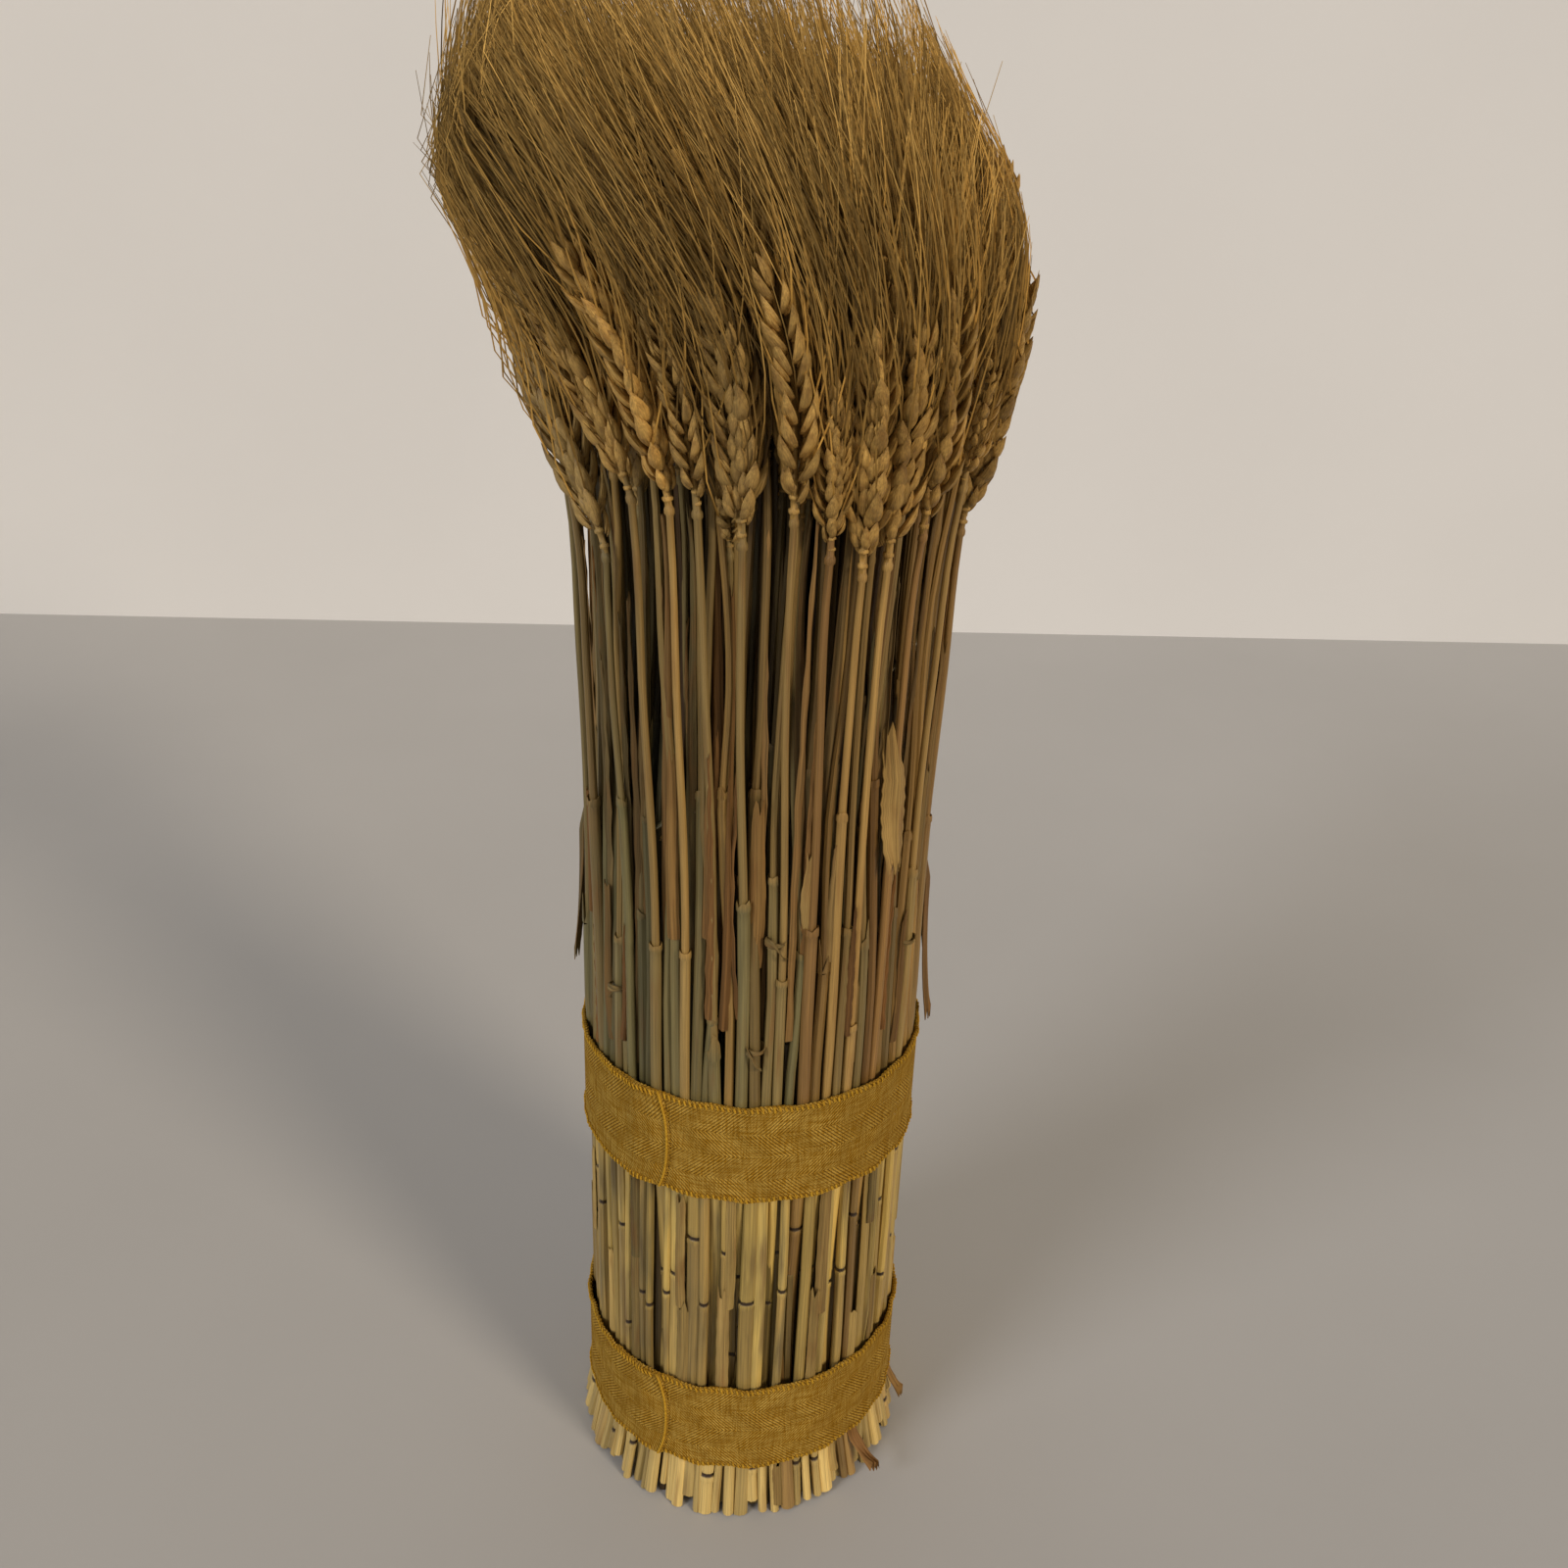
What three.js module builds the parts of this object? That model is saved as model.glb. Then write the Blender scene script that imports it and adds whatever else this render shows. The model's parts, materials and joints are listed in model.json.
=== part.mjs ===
// A standing bundle of dried bearded wheat: some five hundred stalks cut to one length, held
// upright by two flat cloth ribbons, with the ears and their long awns fanning out on top.
//
// Frame: +Z is up along the stalks, the origin is on the floor in the middle of the cut ends,
// and -Y is the front. An azimuth is counted in degrees from the front, growing towards +X.
//
// Every solid is first laid out upright round the Z axis, in "straight" coordinates, and
// lean() then spreads the whole bundle. Solids that are clear of each other stay clear.
import * as THREE from "three";

// ---- Driving dimensions, in millimetres and degrees ----
const STEM_RADIUS = 1.75;
const OUTER_ROW_RADIUS = 55.2; // the row of stalks that the ribbons press on
const MIDDLE_ROW_RADIUS = 47.5;
const CORE_SPACING = 29; // from the middle core lock to the six round it
const CORE_RADIUS = 14.1;
const CORE_GROOVE = 1.3; // how deep the grooves between a core lock's outer stalks are
const CORE_LOBES = 12;

const RIBBON_WIDTH = 38;
const RIBBON_THICKNESS = 0.9;
const RIBBON_INNER_RADIUS = 57.3;
const LOWER_RIBBON_Z = 22.5;
const UPPER_RIBBON_Z = 144.5;
const RIBBON_END = -26; // the loose end's edge, glued over the layer under it
const RIBBON_OVERLAP = 24;
const RIBBON_STEP = 0.5; // the loose end's edge is this steep, in degrees
const RIBBON_RAMP = 4; // and the ramp over the buried end is this long
const RIBBON_STEPS = 54;
const RIBBON_OVERLAP_STEPS = 5;

const LEAF_THICKNESS = 0.7;
const LEAF_GAP = 0.4;
const LEAF_LEVELS = 6;

const NECK_Z = 368; // where a stem ends and its ear begins
const EAR_LENGTH = 66;
const AWN_LENGTH = 50; // how far the awns reach past the ear
const CROWN_TOP = 503;

const SPLAY_HEIGHT = 20; // below this the cut ends spread a little
const STEM_LEVELS = [SPLAY_HEIGHT, 195, 255, 315]; // heights at which a stem can bend
const NECK_STRAIGHT = 12; // the top of a stem, under its neck
const STEMS_TURN_Z = 190; // above this a stem leaves its place in the row for its ear's place
// Each profile row: [share of the length, half the width across, half the thickness].
const EAR_PROFILE = [
  [0, 1.4, 1.4],
  [0.14, 3.4, 2.7],
  [0.35, 4.2, 3.1],
  [0.75, 3.7, 2.8],
  [1, 2.2, 1.9],
];
const AWN_PROFILE = [
  [0.5, 3.6, 2.6],
  [1, 1.2, 0.9],
];
const SPLAY = 0.08;
const SHOULDER_Z = 250; // above this the stalks part from each other
const SHOULDER_SPREAD = 0.04;
const CROWN_FROM_Z = 345; // between these heights the ears and awns fan out
const CROWN_TO_Z = 490;
const CROWN_SPREAD = 0.46;
const AXIS_LEAN = 0.0104; // the bundle stands a little out of plumb, towards +X
const COMB_Z = 400; // above this the awns are combed towards -X
const COMB_TO_Z = 500;
const COMB_SHIFT = 12; // all of them by this much at the top
const COMB_BEND = 0.4; // those in the middle by this times the square of their height, over
const COMB_RISE = 130; // this many millimetres
const COMB_LEFT_REACH = 70; // that bend fades to nothing this far from the middle
const COMB_RIGHT_REACH = 58;

// The stalks whose ears make the front of the outer row: [azimuth of the foot, of the ear's neck
// and of its tip, height of the neck, of the tip].
const FRONT_STALKS = [
  [-82, -88, -108, 374, 432],
  [-63, -71, -97, 375, 434],
  [-44, -51, -82, 358, 423],
  [-33, -38, -54, 378, 436],
  [-22, -26, -33, 377, 445],
  [-12, -18, -21, 377, 432],
  [-3, -7, -8, 369, 438],
  [9, 6, 4.5, 376, 445],
  [18, 16.5, 13, 365, 416],
  [26, 26, 21, 359, 430],
  [34, 34, 32, 361, 430],
  [46, 46, 40, 367, 438],
  [62, 64, 54, 377, 418],
  [76, 78, 70, 360, 428],
];
const OUTER_COUNT = 26;
const MIDDLE_COUNT = 20;
const FIRST_MIDDLE_STEM = -171;
const CORE_RING_COUNT = 6;

// Loose dry leaves caught on the outside: [azimuth, height of the end that lies against the
// stalks, height of the free end, width, how far the free end stands out].
const LEAVES = [
  [88, 236, 182, 5, 4],
  [-89, 252, 204, 4, 2.5],
  [45, 290, 262, 7, 2],
  [47, 21, 11, 5, 9],
  [84, 22, 6, 4, 3],
];

// ---- Materials ----
const straw = new THREE.MeshStandardMaterial({ color: 0xb39a5c, roughness: 0.62 });
const innerStraw = new THREE.MeshStandardMaterial({ color: 0x8f7a45, roughness: 0.7 });
const ribbonCloth = new THREE.MeshStandardMaterial({ color: 0xa37c1f, roughness: 0.9 });
const dryLeaf = new THREE.MeshStandardMaterial({ color: 0x7d5f38, roughness: 0.8 });

// ---- The shape of the whole bundle ----
const radians = THREE.MathUtils.degToRad;
const smooth = THREE.MathUtils.smoothstep;

// How much further apart the stalks are at height z than where the ribbons hold them.
function spread(z) {
  const splay = SPLAY * (1 - Math.min(z, SPLAY_HEIGHT) / SPLAY_HEIGHT);
  const shoulder = SHOULDER_SPREAD * smooth(z, SHOULDER_Z, NECK_Z);
  return 1 + splay + shoulder + CROWN_SPREAD * smooth(z, CROWN_FROM_Z, CROWN_TO_Z);
}

// How far the comb has moved an awn that starts at x, at height z.
function combed(x, z) {
  const reach = x < 0 ? COMB_LEFT_REACH : COMB_RIGHT_REACH;
  const bend = COMB_BEND * (1 - (x / reach) ** 2) * (Math.max(0, z - COMB_Z) ** 2 / COMB_RISE);
  return bend + COMB_SHIFT * smooth(z, COMB_Z, COMB_TO_Z);
}

// From straight coordinates to the real place.
function lean(x, y, z) {
  const plumb = AXIS_LEAN * Math.min(z, NECK_Z);
  return new THREE.Vector3(plumb + spread(z) * x - combed(x, z), spread(z) * y, z);
}

// A repeatable share between -0.5 and 0.5 that differs from one piece to the next.
function vary(index, seed) {
  const share = Math.sin(index * 12.9898 + seed * 78.233) * 43758.5453;
  return share - Math.floor(share) - 0.5;
}

// ---- Closed solids ----

// A closed body through rings of straight-coordinate points, lowest ring first. Every ring has
// the same number of points, counter-clockwise seen from above.
function loft(rings) {
  const sides = rings[0].length;
  const positions = rings.flat().flatMap(([x, y, z]) => lean(x, y, z).toArray());
  const index = [];
  for (let r = 0; r + 1 < rings.length; r++) {
    for (let s = 0; s < sides; s++) {
      const a = r * sides + s;
      const b = r * sides + ((s + 1) % sides);
      index.push(a, b, b + sides, a, b + sides, a + sides);
    }
  }
  const top = (rings.length - 1) * sides;
  for (let s = 1; s + 1 < sides; s++) {
    index.push(0, s + 1, s);
    index.push(top, top + s, top + s + 1);
  }
  return closed(positions, index);
}

function closed(positions, index) {
  const geometry = new THREE.BufferGeometry();
  geometry.setAttribute("position", new THREE.Float32BufferAttribute(positions, 3));
  geometry.setIndex(index);
  geometry.computeVertexNormals();
  return geometry;
}

// An ellipse round the point at this azimuth and radius, wide across and thin towards the axis.
function ellipse(azimuth, radius, z, across, through, sides) {
  const a = radians(azimuth);
  const out = [Math.sin(a), -Math.cos(a)];
  const side = [Math.cos(a), Math.sin(a)];
  return Array.from({ length: sides }, (_, s) => {
    const turn = (s / sides) * 2 * Math.PI;
    const u = across * Math.cos(turn);
    const v = -through * Math.sin(turn);
    return [
      out[0] * (radius + v) + side[0] * u,
      out[1] * (radius + v) + side[1] * u,
      z,
    ];
  });
}

// One stalk: its cut end on the floor, the stem, the neck, the ear and the brush of awns.
function stalkGeometry({ stem, neck, tip, radius, foot, neckZ, tipZ, awnZ, sides }) {
  const earLength = tipZ - neckZ;
  const azimuthAt = (z) =>
    z < neckZ
      ? THREE.MathUtils.lerp(stem, neck, smooth(z, STEMS_TURN_Z, neckZ))
      : THREE.MathUtils.lerp(neck, tip, (z - neckZ) / earLength);
  const ring = (z, across, through) =>
    ellipse(azimuthAt(Math.min(z, tipZ)), radius, z, across, through, sides);
  return loft([
    ...[foot, ...STEM_LEVELS, neckZ - NECK_STRAIGHT].map((z) => ring(z, STEM_RADIUS, STEM_RADIUS)),
    ...EAR_PROFILE.map(([share, ...half]) => ring(neckZ + share * earLength, ...half)),
    ...AWN_PROFILE.map(([share, ...half]) => ring(tipZ + share * (awnZ - tipZ), ...half)),
  ]);
}

// Many stalks joined: a round lock whose outline shows the stalks on its outside.
function coreGeometry(x, y, topZ) {
  const points = CORE_LOBES * 2;
  const ring = ([z, share]) =>
    Array.from({ length: points }, (_, s) => {
      const turn = (s / points) * 2 * Math.PI;
      const r = (CORE_RADIUS - (s % 2 ? CORE_GROOVE : 0)) * share;
      return [x + r * Math.cos(turn), y + r * Math.sin(turn), z];
    });
  const profile = [
    [0, 1],
    [SPLAY_HEIGHT, 1],
    [200, 1],
    [300, 0.99],
    [NECK_Z, 0.97],
    [NECK_Z + 0.5 * EAR_LENGTH, 1],
    [NECK_Z + EAR_LENGTH, 0.96],
    [topZ - 22, 0.88],
    [topZ, 0.5],
  ];
  return loft(profile.map(ring));
}

// Points along a ribbon's run, evenly apart: [azimuth, how far out the layer under it lifts it].
function run(from, to, count, lift) {
  return Array.from({ length: count }, (_, s) => [
    THREE.MathUtils.lerp(from, to, s / (count - 1)),
    lift,
  ]);
}

// A flat band round the bundle. Its loose end lies over its other end, one thickness further out.
function ribbonGeometry(bottomZ) {
  const buriedEnd = RIBBON_END - RIBBON_OVERLAP;
  const outline = [
    ...run(RIBBON_END + RIBBON_STEP, buriedEnd - RIBBON_RAMP + 360, RIBBON_STEPS, 0),
    ...run(buriedEnd + 360, RIBBON_END + 360, RIBBON_OVERLAP_STEPS, RIBBON_THICKNESS),
  ];
  const count = outline.length;
  const positions = [bottomZ, bottomZ + RIBBON_WIDTH].flatMap((z) =>
    [0, 1].flatMap((outside) =>
      outline.flatMap(([azimuth, lift]) => {
        const r = RIBBON_INNER_RADIUS + outside * (RIBBON_THICKNESS + lift);
        const a = radians(azimuth);
        return lean(r * Math.sin(a), -r * Math.cos(a), z).toArray();
      }),
    ),
  );
  const [lowIn, lowOut, highIn, highOut] = [0, 1, 2, 3].map((k) => k * count);
  const index = [];
  const quad = (a, b, c, d) => index.push(a, b, c, a, c, d);
  for (let s = 0; s < count; s++) {
    const n = (s + 1) % count;
    quad(lowOut + s, lowOut + n, highOut + n, highOut + s);
    quad(lowIn + n, lowIn + s, highIn + s, highIn + n);
    quad(highOut + s, highOut + n, highIn + n, highIn + s);
    quad(lowIn + s, lowIn + n, lowOut + n, lowOut + s);
  }
  return closed(positions, index);
}

// A dry leaf: a thin strip that lies on the outer stalks and curls out at its free end.
function leafGeometry(azimuth, heldZ, freeZ, width, standsOut) {
  const lying = RIBBON_INNER_RADIUS + LEAF_GAP + LEAF_THICKNESS / 2;
  const rings = Array.from({ length: LEAF_LEVELS }, (_, level) => {
    const share = level / (LEAF_LEVELS - 1); // from the free end up
    const z = THREE.MathUtils.lerp(freeZ, heldZ, share);
    const radius = lying + standsOut * (1 - share) ** 2;
    const half = (width / 2) * Math.sin(Math.PI * (0.2 + 0.6 * share));
    return ellipse(azimuth, radius, z, half, LEAF_THICKNESS / 2, 4);
  });
  return loft(rings);
}

// ---- The bundle ----
const bundle = new THREE.Group();

function add(name, geometry, material) {
  const mesh = new THREE.Mesh(geometry, material);
  mesh.name = name;
  bundle.add(mesh);
}

const twoDigits = (n) => String(n).padStart(2, "0");

// The outer row's other stalks stand evenly round the back.
function backStalk(i) {
  const [firstFoot, , firstTip] = FRONT_STALKS[0];
  const [lastFoot, , lastTip] = FRONT_STALKS[FRONT_STALKS.length - 1];
  const backCount = OUTER_COUNT - FRONT_STALKS.length;
  const share = (i - FRONT_STALKS.length + 1) / (backCount + 1);
  const foot = THREE.MathUtils.lerp(lastFoot, firstFoot + 360, share);
  const tip = THREE.MathUtils.lerp(lastTip, firstTip + 360, share) + vary(i, 1);
  const neck = (foot + tip) / 2 + 3 * vary(i, 2);
  return [foot, neck, tip, NECK_Z + 12 * vary(i, 3), NECK_Z + EAR_LENGTH + 14 * vary(i, 4)];
}

function addOuterRow() {
  for (let i = 0; i < OUTER_COUNT; i++) {
    const [stem, neck, tip, neckZ, tipZ] = FRONT_STALKS[i] ?? backStalk(i);
    const geometry = stalkGeometry({
      stem,
      neck,
      tip,
      radius: OUTER_ROW_RADIUS,
      foot: 1 + vary(i, 5) * 2,
      neckZ,
      tipZ,
      awnZ: tipZ + AWN_LENGTH + 8 * vary(i, 6),
      sides: 6,
    });
    add(`outer_stalk_${twoDigits(i + 1)}`, geometry, straw);
  }
}

function addMiddleRow() {
  for (let i = 0; i < MIDDLE_COUNT; i++) {
    const azimuth = FIRST_MIDDLE_STEM + (i * 360) / MIDDLE_COUNT;
    const neckZ = NECK_Z + 10 + 16 * vary(i, 7);
    const tipZ = neckZ + EAR_LENGTH;
    const geometry = stalkGeometry({
      stem: azimuth,
      neck: azimuth + 3 * vary(i, 8),
      tip: azimuth + 4 * vary(i, 9),
      radius: MIDDLE_ROW_RADIUS,
      foot: 1 + vary(i, 10) * 2,
      neckZ,
      tipZ,
      awnZ: tipZ + AWN_LENGTH - 4,
      sides: 5,
    });
    add(`middle_stalk_${twoDigits(i + 1)}`, geometry, straw);
  }
}

function addCore() {
  add("core_stalks_1", coreGeometry(0, 0, CROWN_TOP), innerStraw);
  for (let i = 0; i < CORE_RING_COUNT; i++) {
    const a = (i / CORE_RING_COUNT) * 2 * Math.PI;
    const x = CORE_SPACING * Math.cos(a);
    const y = CORE_SPACING * Math.sin(a);
    add(`core_stalks_${i + 2}`, coreGeometry(x, y, CROWN_TOP - 3), innerStraw);
  }
}

addOuterRow();
addMiddleRow();
addCore();
add("lower_ribbon", ribbonGeometry(LOWER_RIBBON_Z), ribbonCloth);
add("upper_ribbon", ribbonGeometry(UPPER_RIBBON_Z), ribbonCloth);
LEAVES.forEach((leaf, i) => add(`dry_leaf_${i + 1}`, leafGeometry(...leaf), dryLeaf));

export default bundle;
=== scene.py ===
"""Finishes the bundle of dried wheat: stalks, ears, awns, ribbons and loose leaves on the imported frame.

Lengths are in millimetres and angles in degrees until a mesh is made, which is in metres. An azimuth
is counted from the front (-Y) towards +X.
"""

import json
import logging
import math
from collections.abc import Sequence
from dataclasses import dataclass, field
from enum import Enum
from functools import cached_property

import bmesh
import bpy
import numpy as np
from mathutils import Matrix, Vector

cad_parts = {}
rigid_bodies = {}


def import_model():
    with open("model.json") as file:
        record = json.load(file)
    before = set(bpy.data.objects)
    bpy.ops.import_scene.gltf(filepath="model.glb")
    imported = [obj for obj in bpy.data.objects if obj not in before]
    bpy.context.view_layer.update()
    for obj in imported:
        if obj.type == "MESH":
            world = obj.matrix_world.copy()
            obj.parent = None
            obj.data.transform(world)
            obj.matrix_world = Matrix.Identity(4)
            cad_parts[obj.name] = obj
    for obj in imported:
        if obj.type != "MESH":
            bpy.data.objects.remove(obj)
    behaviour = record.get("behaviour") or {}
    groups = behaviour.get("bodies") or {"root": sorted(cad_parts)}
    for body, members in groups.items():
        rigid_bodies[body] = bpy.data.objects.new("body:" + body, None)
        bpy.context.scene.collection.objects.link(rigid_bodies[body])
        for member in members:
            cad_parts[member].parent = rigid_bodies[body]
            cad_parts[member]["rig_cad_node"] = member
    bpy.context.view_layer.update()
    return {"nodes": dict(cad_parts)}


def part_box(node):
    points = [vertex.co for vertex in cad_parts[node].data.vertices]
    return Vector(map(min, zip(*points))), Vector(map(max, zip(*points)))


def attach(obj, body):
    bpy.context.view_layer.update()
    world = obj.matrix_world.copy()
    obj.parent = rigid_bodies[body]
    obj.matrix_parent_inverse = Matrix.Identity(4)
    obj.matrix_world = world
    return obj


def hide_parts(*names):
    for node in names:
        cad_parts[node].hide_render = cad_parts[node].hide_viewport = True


LOG = logging.getLogger("wheat_bundle")
MM = 0.001
SEED = 29
TINY = 1e-4
CROWN_X = -8.0
ROOT = "root"

Colour = tuple[float, float, float]
Scale = tuple[float, float, float]
Span = tuple[float, float]
Socket = bpy.types.NodeSocket


# ---------------------------------------------------------------- finishes


class Graph:
    """A material and the node graph behind its one Principled shader."""

    def __init__(self, name: str, roughness: float, specular: float = 0.3) -> None:
        """Starts a material.

        Args:
            name: The material's name.
            roughness: The shader's roughness.
            specular: The shader's specular level.
        """
        self.material = bpy.data.materials.new(name)
        self.material.use_nodes = True
        self.tree = self.material.node_tree
        self.shader = next(n for n in self.tree.nodes if n.type == "BSDF_PRINCIPLED")
        self.shader.inputs["Roughness"].default_value = roughness
        self.shader.inputs["Specular IOR Level"].default_value = specular

    def node(self, kind: str, sockets: dict | None = None, **settings: object) -> bpy.types.Node:
        """Adds one node.

        Args:
            kind: The node's type without its ShaderNode prefix.
            sockets: Input name or number, and the value or the output socket that feeds it.
            **settings: The node's own properties.

        Returns:
            The new node.
        """
        node = self.tree.nodes.new(f"ShaderNode{kind}")
        for key, value in settings.items():
            setattr(node, key, value)
        for key, value in (sockets or {}).items():
            if isinstance(value, Socket):
                self.tree.links.new(value, node.inputs[key])
            else:
                node.inputs[key].default_value = value
        return node

    def tag(self, name: str, output: str = "Fac") -> Socket:
        """Returns the output socket that reads a mesh's own attribute."""
        return self.node("Attribute", attribute_name=name).outputs[output]

    def place(self) -> Socket:
        """Returns the piece's own coordinates."""
        return self.node("TexCoord").outputs["Object"]

    @cached_property
    def rest(self) -> Socket:
        """The places that the mesh's points had before they were bent, in millimetres."""
        return self.tag("rest", "Vector")

    def noise(self, vector: Socket, scale: float, detail: float = 2.0) -> Socket:
        """Returns a noise value at a coordinate."""
        sockets = {"Vector": vector, "Scale": scale, "Detail": detail}
        return self.node("TexNoise", sockets).outputs["Fac"]

    def grain(self, scale: Scale, detail: float = 2.0) -> Socket:
        """Returns noise that follows the unbent mesh, with its own scale along each axis."""
        mapping = self.node("Mapping", {"Vector": self.rest, "Scale": scale})
        return self.noise(mapping.outputs["Vector"], 1.0, detail)

    def spanned(self, value: Socket, low: float, high: float, to_low: float = 0.0,
                to_high: float = 1.0) -> Socket:
        """Returns a value's range moved to another range, clamped.

        Args:
            value: What is mapped.
            low: The value that becomes to_low.
            high: The value that becomes to_high.
            to_low: The result at low.
            to_high: The result at high.

        Returns:
            The mapped value.
        """
        sockets = {"Value": value, "From Min": low, "From Max": high}
        sockets |= {"To Min": to_low, "To Max": to_high}
        return self.node("MapRange", sockets).outputs["Result"]

    def mixed(self, share: object, first: object, second: object, blend: str = "MIX") -> Socket:
        """Returns a mix of two colours.

        Args:
            share: How much of the second there is.
            first: A colour or a socket.
            second: A colour or a socket.
            blend: How the two are blended.

        Returns:
            The mixed colour.
        """
        node = self.node("Mix", data_type="RGBA", blend_type=blend)
        for number, value in ((0, share), (6, first), (7, second)):
            if isinstance(value, Socket):
                self.tree.links.new(value, node.inputs[number])
            elif number:
                node.inputs[number].default_value = (*value, 1.0)
            else:
                node.inputs[number].default_value = value
        return node.outputs[2]

    def math(self, operation: str, first: object, second: object = 0.0) -> Socket:
        """Returns the result of a sum, product or other operation on two values."""
        return self.node("Math", {0: first, 1: second}, operation=operation).outputs[0]

    def wave(self, value: Socket, pitch: float) -> Socket:
        """Returns a sine wave of a pitch along a value."""
        return self.math("SINE", self.math("MULTIPLY", value, 2 * math.pi / pitch))

    def shaded(self, colour: Socket, grain: Socket, span: Span, contrast: Span) -> Socket:
        """Returns a colour made darker and lighter by a grain and by the mesh's own tone.

        Args:
            colour: The colour.
            grain: What it varies with.
            span: The grain's values between which it varies.
            contrast: How light it is at each of them.

        Returns:
            The shaded colour.
        """
        shade = self.math("MULTIPLY", self.spanned(grain, *span, *contrast), self.tag("tone"))
        channels = {"Red": shade, "Green": shade, "Blue": shade}
        grey = self.node("CombineColor", channels).outputs["Color"]
        return self.mixed(1.0, colour, grey, "MULTIPLY")

    def finish(self, colour: Socket, height: Socket, depth: float,
               roughness: Socket | None = None) -> bpy.types.Material:
        """Feeds the shader.

        Args:
            colour: The base colour.
            height: The height that the bump follows.
            depth: How deep the bump is, in millimetres.
            roughness: The roughness, where it varies.

        Returns:
            The material.
        """
        bump = self.node("Bump", {"Height": height, "Strength": 1.0, "Distance": depth * MM})
        self.tree.links.new(colour, self.shader.inputs["Base Color"])
        self.tree.links.new(bump.outputs["Normal"], self.shader.inputs["Normal"])
        if roughness is not None:
            self.tree.links.new(roughness, self.shader.inputs["Roughness"])
        return self.material


@dataclass(frozen=True)
class StrawFinish:
    """Dry stems and sheaths: pale at the cut ends, green-grey to golden higher up."""

    bleached: Colour = (0.66, 0.475, 0.165)
    pale: Colour = (0.68, 0.475, 0.125)
    dull: Colour = (0.47, 0.31, 0.094)
    weathered: Colour = (0.22, 0.18, 0.075)
    green: Colour = (0.185, 0.158, 0.065)
    gold: Colour = (0.37, 0.212, 0.056)
    # Painted shade, near black, in the groove above each node and inside the hollow cut end.
    recess_shade: Colour = (0.035, 0.02, 0.01)
    stain: Colour = (0.22, 0.108, 0.030)
    bleached_below: float = 12.0
    bleached_to: float = 70.0
    pale_below: float = 138.0
    grown_above: float = 186.0
    fibre_scale: Scale = (2.6, 2.6, 0.035)
    fine_scale: Scale = (7.0, 7.0, 0.12)
    patch_scale: Scale = (0.25, 0.25, 0.03)
    contrast: Span = (0.62, 1.25)
    most_stained: float = 0.6
    roughness: Span = (0.3, 0.52)
    bump: float = 0.16

    def material(self) -> bpy.types.Material:
        """Returns the material."""
        g = Graph("straw", roughness=0.5, specular=0.42)
        fibre = g.grain(self.fibre_scale, 3.0)
        fine = g.grain(self.fine_scale)
        patch = g.grain(self.patch_scale)
        up = g.node("SeparateXYZ", {"Vector": g.place()}).outputs["Z"]
        grown = g.spanned(up, self.pale_below * MM, self.grown_above * MM)
        foot = g.spanned(up, self.bleached_to * MM, self.bleached_below * MM)
        low = g.mixed(g.tag("dull"), self.pale, self.dull)
        grey_patch = g.math("MULTIPLY", g.tag("green"), g.spanned(patch, 0.35, 0.7))
        low = g.mixed(grey_patch, low, self.weathered)
        # The green tag holds real greenness and, on the stems, a painted cool-light tint on the left.
        stem = g.mixed(g.tag("green"), self.gold, self.green)
        low = g.mixed(foot, low, self.bleached)
        colour = g.mixed(grown, low, stem)
        stained = g.spanned(patch, 0.56, 0.76, 0.0, self.most_stained)
        colour = g.mixed(stained, colour, self.stain)
        colour = g.mixed(g.tag("brown"), colour, self.stain)
        colour = g.shaded(colour, fibre, (0.25, 0.75), self.contrast)
        # Painted shade in the node grooves and the hollow cut ends.
        colour = g.mixed(g.tag("ring"), colour, self.recess_shade)
        height = g.math("ADD", fibre, g.math("MULTIPLY", fine, 0.5))
        return g.finish(colour, height, self.bump, g.spanned(fine, 0.3, 0.7, *self.roughness))


@dataclass(frozen=True)
class HuskFinish:
    """The ears' papery husks: tan, veined, darker towards their beaks, with painted shade at their feet."""

    light: Colour = (0.56, 0.34, 0.09)
    deep: Colour = (0.33, 0.178, 0.042)
    grey: Colour = (0.27, 0.215, 0.095)
    # Painted shade where each husk's foot tucks under its neighbours.
    foot: Colour = (0.13, 0.062, 0.018)
    vein_scale: Scale = (3.2, 3.2, 0.16)
    patch_scale: Scale = (0.4, 0.4, 0.3)
    contrast: Span = (0.6, 1.28)
    roughness: Span = (0.36, 0.58)
    bump: float = 0.28

    def material(self) -> bpy.types.Material:
        """Returns the material."""
        g = Graph("husk", roughness=0.45)
        vein = g.grain(self.vein_scale)
        patch = g.grain(self.patch_scale)
        colour = g.mixed(g.spanned(patch, 0.35, 0.7), self.light, self.deep)
        colour = g.mixed(g.tag("green"), colour, self.grey)
        # Painted shade at the husks' feet, and a darker beak.
        colour = g.mixed(g.tag("ring"), colour, self.foot)
        colour = g.shaded(colour, vein, (0.25, 0.75), self.contrast)
        return g.finish(colour, vein, self.bump, g.spanned(vein, 0.3, 0.7, *self.roughness))


@dataclass(frozen=True)
class AwnFinish:
    """The long bristles: golden brown, paler towards their tips."""

    foot: Colour = (0.31, 0.17, 0.034)
    tip: Colour = (0.45, 0.282, 0.080)
    paled_by: float = 70.0
    grain_scale: Scale = (0.6, 0.6, 0.08)
    contrast: Span = (0.8, 1.2)
    bump: float = 0.02

    def material(self) -> bpy.types.Material:
        """Returns the material."""
        g = Graph("awn", roughness=0.5, specular=0.2)
        along = g.node("SeparateXYZ", {"Vector": g.rest}).outputs["Z"]
        grain = g.grain(self.grain_scale)
        colour = g.mixed(g.spanned(along, 0.0, self.paled_by), self.foot, self.tip)
        return g.finish(g.shaded(colour, grain, (0.3, 0.7), self.contrast), grain, self.bump)


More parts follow.
